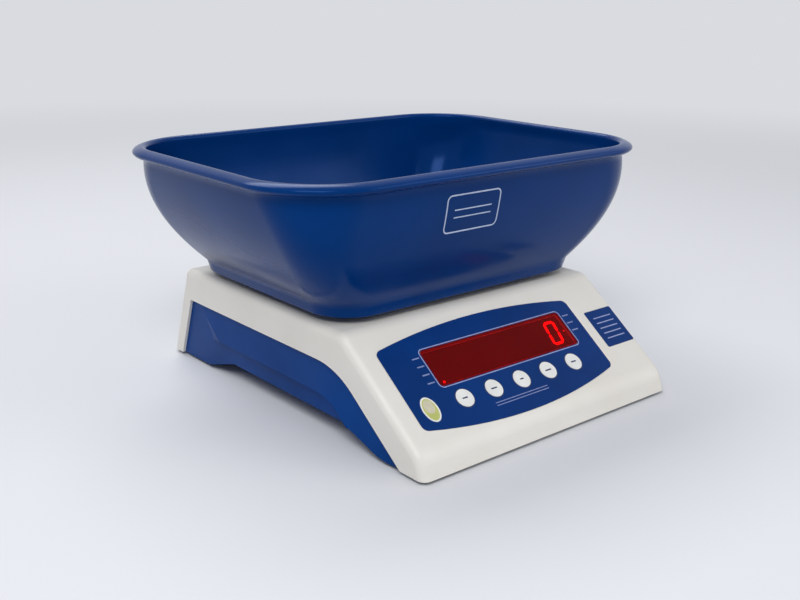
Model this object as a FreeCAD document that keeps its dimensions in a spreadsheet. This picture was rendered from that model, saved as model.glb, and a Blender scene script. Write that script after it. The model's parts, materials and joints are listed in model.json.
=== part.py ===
import FreeCAD, Part
import Sketcher
import math
import os

# Table-top weighing scale with a lift-off bowl, in millimetres.
# X runs across the scale, -Y is the front with the display, Z is up from the table.

doc = FreeCAD.newDocument("weighing_scale")
sheet = doc.addObject("Spreadsheet::Sheet", "Size")

DRIVING = [
    ("deck_width", "300", "width of the housing across the deck"),
    ("deck_height", "94", "height of the deck above the table"),
    ("footprint_depth", "385", "front lip to rear wall at the bottom"),
    ("rear_lean_run", "33", "how far the rear wall leans in on its way up"),
    ("slope_run", "103", "front bottom edge back to the bend of the slope"),
    ("slope_angle", "37", "fall of the sloping panel in degrees"),
    ("lip_run", "7", "how far the front lip leans in on its way up"),
    ("foot_gap", "3.5", "height of the housing's lower edge above the table"),
    ("edge_round", "7", "round along the housing's outer edges"),
    ("bend_round", "16", "round between deck and slope"),
    ("nose_round", "26", "round between slope and front lip"),
    ("shell_wall", "2.8", "wall of both mouldings"),
    ("inner_bevel", "2.5", "bevel inside the upper moulding behind its round edges"),
    ("flange_depth", "30", "side flange below the deck"),
    ("slope_flange_depth", "27", "side flange square to the slope"),
    ("rear_strip", "18.5", "width of the rear corner strip"),
    ("flange_round", "80", "round of the flange edge under the bend"),
    ("part_gap", "0.3", "clearance between mouldings that nest"),
    ("close_gap", "0.1", "clearance round pins and inlaid pieces"),
    ("tongue", "6", "how far the lower moulding reaches up behind the flange"),
    ("arch_height", "17.5", "hand-grip arch above the table"),
    ("arch_front_inset", "89.5", "front end of the hand-grip arch from the front lip's foot"),
    ("arch_rear_inset", "112.5", "rear end of the arch from the rear wall's foot"),
    ("heel_run", "66.5", "length of the rear heel at the bottom"),
    ("toe_run", "50.5", "length of the flat under the front toe"),
    ("toe_round", "60", "round between toe and arch"),
    ("arch_front_round", "8", "round at the front end of the arch"),
    ("arch_rear_round", "12", "round at the rear end of the arch"),
    ("heel_round", "30", "round between arch and heel"),
    ("toe_step", "9", "height of the toe behind the front lip"),
    ("flare_depth", "28", "flared side panel from flange edge to crease"),
    ("flare_reach", "5", "how far the crease stands out of the side wall"),
    ("flare_fade", "45", "length over which the flare runs out at the rear"),
    ("flare_inset", "50.5", "rear end of the flare from the rear wall's foot"),
    ("flare_sink", "1", "how far the flare runs into the side wall"),
    ("flare_heel_gap", "28", "lower rear corner of the flare ahead of the heel"),
    ("flare_tail_run", "30", "length of the flare's rising tail"),
    ("flare_tail_rise", "3", "rise of that tail's lower corner above the crease"),
    ("flare_tail_round", "14", "round of that corner"),
    ("cut_margin", "10", "how far a cutting block runs past what it cuts"),
    ("overlay_thick", "0.6", "thickness of the keypad film"),
    ("overlay_width", "226", "width of the keypad film"),
    ("overlay_x", "-17", "centre of the keypad film across the slope"),
    ("overlay_top", "24.5", "film's upper corners below the bend"),
    ("overlay_bottom", "101", "film's lower corners below the bend"),
    ("overlay_top_bow", "11", "rise of the film's upper edge"),
    ("overlay_bottom_bow", "13.5", "drop of the film's lower edge"),
    ("overlay_corner", "6", "film's corner round"),
    ("window_width", "167", "width of the display window"),
    ("window_tall", "36", "height of the display window along the slope"),
    ("window_x", "-6.7", "centre of the display window across the slope"),
    ("window_down", "52", "centre of the display window below the bend"),
    ("window_corner", "3.5", "corner round of the display window"),
    ("window_thick", "2.6", "thickness of the display window"),
    ("window_ledge", "2", "ledge that the display window rests on"),
    ("digit_tall", "25", "height of a display digit"),
    ("digit_wide", "14", "width of a display digit"),
    ("digit_stroke", "2.6", "width of a digit's bar"),
    ("digit_gap", "0.4", "gap between the ends of a digit's bars"),
    ("digit_lean", "8", "lean of the digits in degrees"),
    ("digit_x", "60.5", "centre of the lit digit"),
    ("digit_proud", "0.3", "how far the bars stand out of the display module"),
    ("module_thick", "8", "thickness of the display module"),
    ("key_round", "8.4", "radius of a key"),
    ("key_left_gap", "53.7", "first key from the film's left end"),
    ("key_right_gap", "40.3", "last key from the film's right end"),
    ("key_down", "85.7", "keys below the bend"),
    ("key_rise", "0.5", "how far a key stands out of the film"),
    ("level_gap", "16.8", "spirit level from the film's left end"),
    ("level_down", "85.8", "spirit level below the bend"),
    ("level_half_wide", "7.9", "half width of the spirit level"),
    ("level_half_tall", "11.6", "half height of the spirit level"),
    ("level_deep", "7", "depth of the spirit level's cup"),
    ("level_wall", "1.4", "wall of the spirit level's cup"),
    ("label_width", "36.4", "width of the plain side label"),
    ("label_tall", "40.3", "height of the plain side label along the slope"),
    ("label_gap", "12.2", "gap between keypad film and side label"),
    ("label_down", "63", "centre of the side label below the bend"),
    ("label_thick", "0.4", "thickness of the side label"),
    ("label_corner", "1.5", "corner round of the side label"),
    ("pan_y", "31", "centre of the bowl along the depth"),
    ("post_x", "95", "support posts from the middle"),
    ("post_y", "65", "support posts from the bowl's centre"),
    ("post_round", "6.5", "radius of a support post"),
    ("post_hole", "10", "radius of the deck's hole round a post"),
    ("collar_wall", "2.4", "wall of the raised collar round a deck hole"),
    ("collar_rise", "1.2", "height of that collar above the deck"),
    ("pad_round", "8", "radius of a rubber support pad"),
    ("pad_thick", "5", "thickness of a rubber support pad"),
    ("seat_gap", "0.3", "clearance where the bowl rests on its pads"),
    ("bowl_clear", "6", "gap between deck and bowl"),
    ("plate_thick", "3", "steel base plate in the lower moulding"),
    ("plate_width", "180", "width of the base plate"),
    ("plate_deep", "100", "depth of the base plate"),
    ("plate_corner", "4", "corner round of base plate and battery cover"),
    ("cell_long", "130", "length of the load cell"),
    ("cell_wide", "30", "width of the load cell"),
    ("cell_tall", "22", "height of the load cell"),
    ("spacer_thick", "6", "spacers below and above the load cell"),
    ("spacer_long", "32", "length of a spacer"),
    ("cell_hole", "7.5", "radius of the load cell's twin holes"),
    ("cell_hole_apart", "22", "spacing of the load cell's twin holes"),
    ("rail_wide", "20", "width of a spider rail"),
    ("rail_thick", "8", "thickness of the spider"),
    ("rail_corner", "8", "corner round of the spider's rails"),
    ("foot_round", "11", "radius of a levelling foot"),
    ("foot_tall", "6.5", "height of a levelling foot's disc"),
    ("recess_gap", "1", "clearance round a levelling foot"),
    ("foot_side_inset", "28", "levelling feet from the housing's sides"),
    ("foot_rear_inset", "34.5", "rear levelling feet from the rear wall's foot"),
    ("foot_front_inset", "43.5", "front levelling feet from the front lip's foot"),
    ("boss_wall", "3", "wall round a foot's recess"),
    ("door_width", "80", "width of the battery cover"),
    ("door_deep", "112", "depth of the battery cover"),
    ("door_thick", "2.4", "thickness of the battery cover"),
    ("door_y", "-20", "centre of the battery cover"),
    ("switch_x", "-62", "power switch from the middle of the rear wall"),
    ("switch_height", "38", "power switch above the table"),
    ("switch_width", "21", "width of the switch's bezel"),
    ("switch_tall", "15", "height of the switch's bezel"),
    ("bezel_thick", "1.6", "thickness of the switch's bezel"),
    ("bezel_frame", "2", "frame of the switch's bezel round its rocker"),
    ("jack_x", "-96", "power socket from the middle of the rear wall"),
    ("jack_round", "6", "outer radius of the power socket"),
    ("jack_bore", "2.9", "radius of the power socket's bore"),
    ("jack_deep", "12", "depth of the power socket behind the wall"),
    ("jack_rim", "1.5", "rim of the power socket outside the wall"),
    ("jack_floor", "2", "closed end of the power socket"),
    ("rocker_high", "4.4", "raised end of the switch's rocker"),
    ("rocker_mid", "2.2", "middle of the switch's rocker"),
    ("rocker_low", "2.8", "pressed end of the switch's rocker"),
    ("bowl_rim_x", "212", "half length of the bowl's rim"),
    ("bowl_rim_y", "155.3", "half width of the bowl's rim"),
    ("bowl_rim_corner", "76", "corner radius of the bowl's rim"),
    ("bowl_foot_x", "143.2", "half length of the bowl's foot"),
    ("bowl_foot_y", "114.8", "half width of the bowl's foot"),
    ("bowl_foot_corner", "39", "corner radius of the bowl's foot"),
    ("bowl_tall", "119.4", "height of the bowl"),
    ("bowl_foot_tall", "10.5", "height of the bowl's foot band"),
    ("bowl_foot_draft", "3", "outward draft of the foot band"),
    ("bowl_foot_bevel", "1.5", "bevel under the foot band"),
    ("bowl_wall", "3.2", "wall of the bowl"),
    ("bowl_curve", "2.3", "how soon the short sides turn upright"),
    ("bowl_lean", "0.05", "share of their spread that stays even to the rim"),
    ("corner_late", "3", "how late on the way up the corners widen"),
    ("rim_proud", "9.4", "how far the rim stands out of the wall"),
    ("rim_tall", "11", "height of the rim from its crest to the wall"),
    ("rim_half", "5", "height from the rim's crest to its widest line"),
    ("rim_crest", "1", "crest of the rim outside the wall's outer face"),
    ("rim_inner", "3.5", "height of the round between the inside and the crest"),
]

DERIVED = [
    ("half_width", "=deck_width / 2", "half width of the housing"),
    ("half_depth", "=footprint_depth / 2", "half depth of the housing"),
    ("bend_y", "=slope_run - half_depth", "bend between deck and slope"),
    ("deck_rear", "=half_depth - rear_lean_run", "rear edge of the deck"),
    ("arch_front", "=arch_front_inset - half_depth", "front end of the hand-grip arch"),
    ("arch_rear", "=half_depth - arch_rear_inset", "rear end of the hand-grip arch"),
    ("heel_front", "=half_depth - heel_run", "front end of the rear heel"),
    ("toe_rear", "=toe_run - half_depth", "rear end of the front toe"),
    ("flare_end", "=half_depth - flare_inset", "rear end of the flare"),
    ("foot_x", "=half_width - foot_side_inset", "levelling feet from the middle"),
    ("foot_rear_y", "=half_depth - foot_rear_inset", "rear levelling feet"),
    ("foot_front_y", "=foot_front_inset - half_depth", "front levelling feet"),
    ("film_left", "=overlay_x - overlay_width / 2", "left end of the keypad film"),
    ("level_x", "=film_left + level_gap", "spirit level from the middle"),
    ("key_first_x", "=film_left + key_left_gap", "first key from the middle"),
    ("key_pitch", "=(overlay_width - key_left_gap - key_right_gap) / 4", "spacing of the keys"),
    ("label_x", "=overlay_x + overlay_width / 2 + label_gap + label_width / 2",
     "centre of the side label"),
    ("nose_y", "=lip_run - half_depth", "corner between slope and lip"),
    ("nose_z", "=deck_height - (slope_run - lip_run) * tan(slope_angle)", "height of that corner"),
    ("rear_lean", "=atan(rear_lean_run / (deck_height - foot_gap))", "lean of the rear wall"),
    ("lip_lean", "=atan(lip_run / (nose_z - foot_gap))", "lean of the front lip"),
    ("core_slope", "=deck_height - bend_y * tan(slope_angle) - shell_wall / cos(slope_angle)",
     "height at mid depth of the slope's inner line"),
    ("core_lip", "=shell_wall / cos(lip_lean) - half_depth - foot_gap * tan(lip_lean)",
     "depth at table height of the lip's inner line"),
    ("core_nose_z", "=(core_slope + core_lip * tan(slope_angle))"
     " / (1 - tan(slope_angle) * tan(lip_lean))", "height of the inner nose corner"),
    ("core_nose_y", "=core_lip + core_nose_z * tan(lip_lean)", "depth of the inner nose corner"),
    ("core_rear", "=half_depth - shell_wall / cos(rear_lean)", "inner face of the rear wall"),
    ("wall_x", "=half_width - shell_wall - part_gap", "outer face of the lower moulding"),
    ("flange_z", "=deck_height - flange_depth", "lower edge of the side flange"),
    ("flange_y", "=bend_y + (flange_z - deck_height + slope_flange_depth / cos(slope_angle))"
     " / tan(slope_angle)", "corner of the flange edge"),
    ("floor_z", "=arch_height + shell_wall", "upper face of the lower moulding's floor"),
    ("bowl_z", "=deck_height + bowl_clear", "underside of the bowl"),
    ("pad_top", "=bowl_z - seat_gap", "top of the support pads"),
    ("bowl_wall_x", "=bowl_rim_x - rim_proud", "half length of the wall at the rim"),
    ("bowl_wall_y", "=bowl_rim_y - rim_proud", "half width of the wall at the rim"),
    ("bowl_wall_corner", "=bowl_rim_corner - rim_proud", "corner radius of the wall at the rim"),
    ("bowl_side_tall", "=bowl_tall - bowl_foot_tall - rim_tall", "wall between foot and rim"),
]


def fill_sheet(rows, first_row):
    """Write named rows of sizes into the sheet."""
    for row, (alias, text, note) in enumerate(rows, start=first_row):
        sheet.set("A%d" % row, note)
        sheet.set("B%d" % row, text)
        sheet.setAlias("B%d" % row, alias)


fill_sheet(DRIVING, 1)
fill_sheet(DERIVED, len(DRIVING) + 1)
doc.recompute()


def value(text):
    """Number that a sheet expression gives now."""
    result = sheet.evalExpression(text)
    return float(getattr(result, "Value", result))


def new_body(name):
    """Body that becomes one sub-part."""
    body = doc.addObject("PartDesign::Body", name)
    body.Label = name
    return body


def attach(sketch, body, role, lift=None):
    """Lay a sketch on one of its body's origin planes."""
    planes = [item for item in body.Origin.OriginFeatures if item.Role == role]
    sketch.AttachmentSupport = (planes[0], [""])
    sketch.MapMode = "FlatFace"
    if lift:
        sketch.setExpression("AttachmentOffset.Base.z", lift)


def tilt_to_slope(sketch):
    """Turn a sketch from the ground plane onto the sloping panel."""
    turn = FreeCAD.Rotation(FreeCAD.Vector(1, 0, 0), value("Size.slope_angle"))
    sketch.AttachmentOffset = FreeCAD.Placement(FreeCAD.Vector(0, 0, 0), turn)
    sketch.setExpression("AttachmentOffset.Base.y", "Size.bend_y")
    sketch.setExpression("AttachmentOffset.Base.z", "Size.deck_height")
    sketch.setExpression("AttachmentOffset.Rotation.Angle", "Size.slope_angle")


def fix_point(sketch, shape, end, spot, texts):
    """Bind a point's two distances from the sketch's origin to the sheet."""
    for kind, amount, text in zip(("DistanceX", "DistanceY"), spot, texts):
        index = sketch.addConstraint(Sketcher.Constraint(kind, -1, 1, shape, end, amount))
        sketch.setExpression("Constraints[%d]" % index, text)


def corner_arc(before, corner, after, radius):
    """Arc that rounds a corner, and whether it runs against the outline."""
    to_before = (before - corner).normalize()
    to_after = (after - corner).normalize()
    half = to_before.getAngle(to_after) / 2
    reach = radius / math.tan(half)
    start = corner + to_before * reach
    finish = corner + to_after * reach
    centre = corner + (to_before + to_after).normalize() * (radius / math.sin(half))
    right_turn = to_before.cross(to_after).z > 0
    first, last = (finish, start) if right_turn else (start, finish)
    begin = math.atan2(first.y - centre.y, first.x - centre.x)
    stop = math.atan2(last.y - centre.y, last.x - centre.x)
    if stop < begin:
        stop += 2 * math.pi
    circle = Part.Circle(centre, FreeCAD.Vector(0, 0, 1), radius)
    return Part.ArcOfCircle(circle, begin, stop), start, finish, right_turn


def outline(body, name, role, corners, lift=None):
    """Closed sketch through corners (x, y) or rounded corners (x, y, radius)."""
    sketch = body.newObject("Sketcher::SketchObject", name)
    attach(sketch, body, role, lift)
    spots = [FreeCAD.Vector(value(item[0]), value(item[1]), 0) for item in corners]
    count = len(corners)
    leaves, enters, arcs = list(spots), list(spots), {}
    for index, item in enumerate(corners):
        if len(item) == 3:
            found = corner_arc(spots[index - 1], spots[index], spots[(index + 1) % count],
                               value(item[2]))
            arcs[index] = found
            enters[index] = found[1]
            leaves[index] = found[2]
    for index in range(count):
        sketch.addGeometry(Part.LineSegment(leaves[index], enters[(index + 1) % count]), False)
    for index, item in enumerate(corners):
        spot = (spots[index].x, spots[index].y)
        before = (index - 1) % count
        if index not in arcs:
            sketch.addConstraint(Sketcher.Constraint("Coincident", before, 2, index, 1))
            fix_point(sketch, index, 1, spot, item[:2])
            continue
        arc = sketch.addGeometry(arcs[index][0], False)
        near, far = (2, 1) if arcs[index][3] else (1, 2)
        sketch.addConstraint(Sketcher.Constraint("Tangent", before, 2, arc, near))
        sketch.addConstraint(Sketcher.Constraint("Tangent", arc, far, index, 1))
        point = sketch.addGeometry(Part.Point(spots[index]), True)
        fix_point(sketch, point, 1, spot, item[:2])
        sketch.addConstraint(Sketcher.Constraint("PointOnObject", point, 1, before))
        sketch.addConstraint(Sketcher.Constraint("PointOnObject", point, 1, index))
        size = sketch.addConstraint(Sketcher.Constraint("Radius", arc, value(item[2])))
        sketch.setExpression("Constraints[%d]" % size, item[2])
    return sketch


def rectangle(body, name, role, middle, half, corner=None, lift=None):
    """Sketch of a rectangle about a middle point, with or without round corners."""
    signs = ((-1, -1), (1, -1), (1, 1), (-1, 1))
    corners = []
    for across, along in signs:
        spot = ("%s + (%d) * (%s)" % (middle[0], across, half[0]),
                "%s + (%d) * (%s)" % (middle[1], along, half[1]))
        corners.append(spot + (corner,) if corner else spot)
    return outline(body, name, role, corners, lift)


def circles(body, name, role, middles, radius, lift=None):
    """Sketch of equal circles."""
    sketch = body.newObject("Sketcher::SketchObject", name)
    attach(sketch, body, role, lift)
    for middle in middles:
        spot = (value(middle[0]), value(middle[1]))
        ring = Part.Circle(FreeCAD.Vector(spot[0], spot[1], 0), FreeCAD.Vector(0, 0, 1),
                           value(radius))
        index = sketch.addGeometry(ring, False)
        fix_point(sketch, index, 3, spot, middle)
        size = sketch.addConstraint(Sketcher.Constraint("Radius", index, value(radius)))
        sketch.setExpression("Constraints[%d]" % size, radius)
    return sketch


def extrude(body, kind, name, sketch, length, side="One side", reverse=False):
    """Pad or pocket of a sketch with its length bound to the sheet."""
    feature = body.newObject("PartDesign::" + kind, name)
    feature.Profile = sketch
    feature.SideType = side
    feature.Reversed = reverse
    feature.setExpression("Length", length)
    doc.recompute()
    return feature


def pick(feature, kind, test):
    """Names of a feature's faces or edges that pass a test."""
    items = getattr(feature.Shape, kind + "s")
    return [kind + str(index) for index, item in enumerate(items, start=1) if test(item)]


def round_edges(body, name, base, test, radius):
    """Fillet the edges of a feature that pass a test."""
    fillet = body.newObject("PartDesign::Fillet", name)
    fillet.Base = (base, pick(base, "Edge", test))
    fillet.setExpression("Radius", radius)
    doc.recompute()
    return fillet


def bevel_edges(body, name, base, test, size):
    """Chamfer the edges of a feature that pass a test."""
    chamfer = body.newObject("PartDesign::Chamfer", name)
    chamfer.Base = (base, pick(base, "Edge", test))
    chamfer.setExpression("Size", size)
    doc.recompute()
    return chamfer


def seat_on_slope(thing):
    """Place a sub-part's frame on the sloping panel, its Z square to it."""
    turn = FreeCAD.Rotation(FreeCAD.Vector(1, 0, 0), value("Size.slope_angle"))
    thing.Placement = FreeCAD.Placement(FreeCAD.Vector(0, 0, 0), turn)
    thing.setExpression("Placement.Base.y", "Size.bend_y")
    thing.setExpression("Placement.Base.z", "Size.deck_height")
    thing.setExpression("Placement.Rotation.Angle", "Size.slope_angle")


def z_span(item):
    return item.BoundBox.ZMin, item.BoundBox.ZMax


def is_level_at(item, height):
    low, high = z_span(item)
    return abs(low - height) < 0.01 and abs(high - height) < 0.01


SUBPARTS = []


def keep(thing, name):
    """Name a finished sub-part, which also names its file."""
    thing.Label = name
    SUBPARTS.append(thing)
    return thing


def boolean(kind, name, base, tool):
    result = doc.addObject("Part::" + kind, name)
    result.Base = base
    result.Tool = tool
    doc.recompute()
    return result


def oval_prism(name, half_wide, half_tall, bottom, tall):
    """Upright oval prism at the spirit level's place on the slope."""
    oval = doc.addObject("Part::Ellipse", name + "_outline")
    oval.setExpression("MajorRadius", half_tall)
    oval.setExpression("MinorRadius", half_wide)
    prism = doc.addObject("Part::Extrusion", name)
    prism.Base = oval
    prism.DirMode = "Custom"
    prism.Dir = FreeCAD.Vector(0, 0, 1)
    prism.Solid = True
    prism.setExpression("LengthFwd", tall)
    turn = FreeCAD.Rotation(FreeCAD.Vector(1, 0, 0), value("Size.slope_angle"))
    place = FreeCAD.Placement(FreeCAD.Vector(0, value("Size.bend_y"), value("Size.deck_height")), turn)
    quarter = FreeCAD.Rotation(FreeCAD.Vector(0, 0, 1), 90)
    spot = FreeCAD.Vector(value("Size.level_x"), -value("Size.level_down"), value(bottom))
    prism.Placement = place.multiply(FreeCAD.Placement(spot, quarter))
    doc.recompute()
    return prism


# Upper moulding: a shell with a deck, a sloping panel, side flanges and rear corner strips.
top = new_body("upper_moulding")
side_profile = outline(top, "side_profile", "YZ_Plane", [
    ("Size.half_depth", "Size.foot_gap"),
    ("Size.deck_rear", "Size.deck_height"),
    ("Size.bend_y", "Size.deck_height", "Size.bend_round"),
    ("Size.nose_y", "Size.nose_z", "Size.nose_round"),
    ("-Size.half_depth", "Size.foot_gap"),
])
block = extrude(top, "Pad", "block", side_profile, "Size.deck_width", "Symmetric")


def is_outer_edge(edge):
    """Edges round the two side faces and along the rear of the deck."""
    box = edge.BoundBox
    if is_level_at(edge, value("Size.foot_gap")):
        return False
    on_side = box.XLength < 0.01 and abs(abs(box.XMin) - value("Size.half_width")) < 0.01
    rear_top = is_level_at(edge, value("Size.deck_height")) and abs(
        box.YMin - value("Size.deck_rear")) < 0.01 and box.YLength < 0.01
    return on_side or rear_top


round_edges(top, "outer_round", block, is_outer_edge, "Size.edge_round")
panel_line = outline(top, "side_panel_line", "YZ_Plane", [
    ("Size.half_depth - Size.rear_strip + Size.foot_gap * tan(Size.rear_lean)", "0"),
    ("Size.half_depth - Size.rear_strip - (Size.flange_z - Size.foot_gap) * tan(Size.rear_lean)",
     "Size.flange_z"),
    ("Size.flange_y", "Size.flange_z", "Size.flange_round"),
    ("Size.flange_y - Size.flange_z / tan(Size.slope_angle)", "0"),
])
extrude(top, "Pocket", "side_panel_cut", panel_line, "Size.deck_width + Size.shell_wall",
        "Symmetric")

window_half = ("Size.window_width / 2 + Size.part_gap", "Size.window_tall / 2 + Size.part_gap")
window_mid = ("Size.window_x", "-Size.window_down")
window_recess = rectangle(top, "window_recess_line", "XY_Plane", window_mid, window_half,
                          "Size.window_corner")
tilt_to_slope(window_recess)
extrude(top, "Pocket", "window_recess", window_recess, "Size.window_thick - Size.overlay_thick")
window_hole = rectangle(top, "window_hole_line", "XY_Plane", window_mid,
                        ("Size.window_width / 2 - Size.window_ledge",
                         "Size.window_tall / 2 - Size.window_ledge"))
tilt_to_slope(window_hole)
extrude(top, "Pocket", "window_hole", window_hole, "Size.shell_wall * 2")

POST_SPOTS = [("%d * Size.post_x" % across, "Size.pan_y + (%d) * Size.post_y" % along)
              for along in (-1, 1) for across in (-1, 1)]
collar_line = circles(top, "collar_line", "XY_Plane", POST_SPOTS,
                      "Size.post_hole + Size.collar_wall", "Size.deck_height")
extrude(top, "Pad", "collars", collar_line, "Size.collar_rise")
post_holes = circles(top, "post_hole_line", "XY_Plane", POST_SPOTS, "Size.post_hole",
                     "Size.deck_height + Size.collar_rise")
extrude(top, "Pocket", "post_holes", post_holes, "Size.shell_wall * 2 + Size.collar_rise")


core = new_body("upper_core")
CORE_Z = "(Size.foot_gap - Size.cut_margin)"
core_profile = outline(core, "core_profile", "YZ_Plane", [
    ("Size.core_rear + Size.cut_margin * tan(Size.rear_lean)", CORE_Z),
    ("Size.core_rear - (Size.deck_height - Size.shell_wall - Size.foot_gap) * tan(Size.rear_lean)",
     "Size.deck_height - Size.shell_wall"),
    ("Size.bend_y + Size.shell_wall * tan(Size.slope_angle / 2)",
     "Size.deck_height - Size.shell_wall", "Size.bend_round - Size.shell_wall"),
    ("Size.core_nose_y", "Size.core_nose_z", "Size.nose_round - Size.shell_wall"),
    ("Size.core_lip + " + CORE_Z + " * tan(Size.lip_lean)", CORE_Z),
])
core_block = extrude(core, "Pad", "core_block", core_profile,
                     "Size.deck_width - 2 * Size.shell_wall", "Symmetric")


def is_core_edge(edge):
    """Inner edges that follow the rounded outer edges."""
    box = edge.BoundBox
    if box.ZMax < value("Size.foot_gap") - 1:
        return False
    side_x = value("Size.half_width - Size.shell_wall")
    on_side = box.XLength < 0.01 and abs(abs(box.XMin) - side_x) < 0.01
    rear_top = is_level_at(edge, value("Size.deck_height - Size.shell_wall")) and box.YMin > 0
    return on_side or (rear_top and box.YLength < 0.01)


bevel_edges(core, "inner_bevel", core_block, is_core_edge, "Size.inner_bevel")
upper_shell = boolean("Cut", "upper_shell", top, core)

level_hole = oval_prism("level_hole", "Size.level_half_wide + Size.part_gap",
                        "Size.level_half_tall + Size.part_gap", "-Size.shell_wall * 3",
                        "Size.shell_wall * 6")
top_with_level = boolean("Cut", "upper_with_level_hole", upper_shell, level_hole)

switch_hole = doc.addObject("Part::Box", "switch_hole")
switch_hole.setExpression("Length", "Size.switch_width - 2 * Size.bezel_frame")
switch_hole.setExpression("Width", "Size.switch_tall - 2 * Size.bezel_frame")
switch_hole.setExpression("Height", "Size.shell_wall * 4")
jack_hole = doc.addObject("Part::Cylinder", "jack_hole")
jack_hole.setExpression("Radius", "Size.jack_round + Size.close_gap")
jack_hole.setExpression("Height", "Size.shell_wall * 4")


def rear_frame(across, height, inwards):
    """Placement on the rear wall, moved in along its normal, with Z pointing out of it."""
    lean = FreeCAD.Rotation(FreeCAD.Vector(1, 0, 0), value("Size.rear_lean"))
    outward = FreeCAD.Rotation(FreeCAD.Vector(0, 1, 1), 180)
    turn = lean.multiply(outward)
    away = turn.multVec(FreeCAD.Vector(0, 0, 1))
    along = value("Size.half_depth - (%s - Size.foot_gap) * tan(Size.rear_lean)" % height)
    spot = FreeCAD.Vector(value(across), along, value(height)) - away * value(inwards)
    return FreeCAD.Placement(spot, turn)


def centre_on_rear(thing, across, height, inwards, half_x="0", half_y="0"):
    """Put a primitive on the rear wall, centred on its own X and Y."""
    shift = FreeCAD.Placement(FreeCAD.Vector(-value(half_x), -value(half_y), 0),
                              FreeCAD.Rotation())
    thing.Placement = rear_frame(across, height, inwards).multiply(shift)


centre_on_rear(switch_hole, "Size.switch_x", "Size.switch_height", "Size.shell_wall * 2",
               "Size.switch_width / 2 - Size.bezel_frame",
               "Size.switch_tall / 2 - Size.bezel_frame")
centre_on_rear(jack_hole, "Size.jack_x", "Size.switch_height", "Size.shell_wall * 2")
top_with_switch = boolean("Cut", "upper_with_switch_hole", top_with_level, switch_hole)
keep(boolean("Cut", "upper_housing", top_with_switch, jack_hole), "top_housing")

# Lower moulding: a tray with hand-grip arches, bosses for the feet and flared side panels.
REAR_FACE = "Size.core_rear - Size.part_gap * 2"
MOUTH_Z = "(Size.flange_z + Size.tongue)"
MOUTH_Y = "(Size.flange_y + Size.tongue * tan(Size.slope_angle / 2))"
TOE_Z = "(Size.foot_gap + Size.toe_step)"
TOE_Y = "(Size.core_lip + %s * tan(Size.lip_lean) + Size.part_gap)" % TOE_Z


def underside(lift):
    """Lower line of the tray from the front toe to the rear heel, raised by a lift."""
    return [
        ("Size.toe_rear", "Size.foot_gap + " + lift, "Size.toe_round"),
        ("Size.arch_front", "Size.arch_height + " + lift, "Size.arch_front_round"),
        ("Size.arch_rear", "Size.arch_height + " + lift, "Size.arch_rear_round"),
        ("Size.heel_front", "Size.foot_gap + " + lift, "Size.heel_round"),
    ]


tray = new_body("tray")
tray_line = outline(tray, "tray_line", "YZ_Plane", [
    (REAR_FACE, "Size.foot_gap"),
    (REAR_FACE + " - (" + MOUTH_Z + " - Size.foot_gap) * tan(Size.rear_lean)", MOUTH_Z),
    (MOUTH_Y, MOUTH_Z, "Size.flange_round"),
    (MOUTH_Y + " - (" + MOUTH_Z + " - " + TOE_Z + ") / tan(Size.slope_angle)", TOE_Z),
    (TOE_Y, TOE_Z),
    (TOE_Y, "Size.foot_gap"),
] + underside("0"))
tray_pad = extrude(tray, "Pad", "tray_block", tray_line, "2 * Size.wall_x", "Symmetric")


def is_tray_end_edge(edge):
    """Upright side edges at the tray's rear face and behind the front lip."""
    box = edge.BoundBox
    on_side = box.XLength < 0.01 and box.ZLength > 1
    at_rear = box.YMin > value("Size.deck_rear") - 1 and box.YMax > value("Size.heel_front")
    at_lip = box.YMax < value(TOE_Y) + 0.01
    return on_side and (at_rear or at_lip)


round_edges(tray, "tray_corners", tray_pad, is_tray_end_edge, "Size.edge_round - Size.shell_wall")

flare = new_body("flare")
spine = flare.newObject("Sketcher::SketchObject", "flange_line")
attach(spine, flare, "YZ_Plane")


def bent_path(sketch, start, corner, finish, radius):
    """Open sketch of two straight runs joined by a round bend."""
    spots = [FreeCAD.Vector(value(item[0]), value(item[1]), 0) for item in (start, corner, finish)]
    arc, near, far, right_turn = corner_arc(spots[0], spots[1], spots[2], value(radius))
    sketch.addGeometry(Part.LineSegment(spots[0], near), False)
    sketch.addGeometry(Part.LineSegment(far, spots[2]), False)
    sketch.addGeometry(arc, False)
    first, last = (2, 1) if right_turn else (1, 2)
    sketch.addConstraint(Sketcher.Constraint("Tangent", 0, 2, 2, first))
    sketch.addConstraint(Sketcher.Constraint("Tangent", 2, last, 1, 1))
    fix_point(sketch, 0, 1, (spots[0].x, spots[0].y), start)
    fix_point(sketch, 1, 2, (spots[2].x, spots[2].y), finish)
    point = sketch.addGeometry(Part.Point(spots[1]), True)
    fix_point(sketch, point, 1, (spots[1].x, spots[1].y), corner)
    sketch.addConstraint(Sketcher.Constraint("PointOnObject", point, 1, 0))
    sketch.addConstraint(Sketcher.Constraint("PointOnObject", point, 1, 1))
    size = sketch.addConstraint(Sketcher.Constraint("Radius", 2, value(radius)))
    sketch.setExpression("Constraints[%d]" % size, radius)


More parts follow.
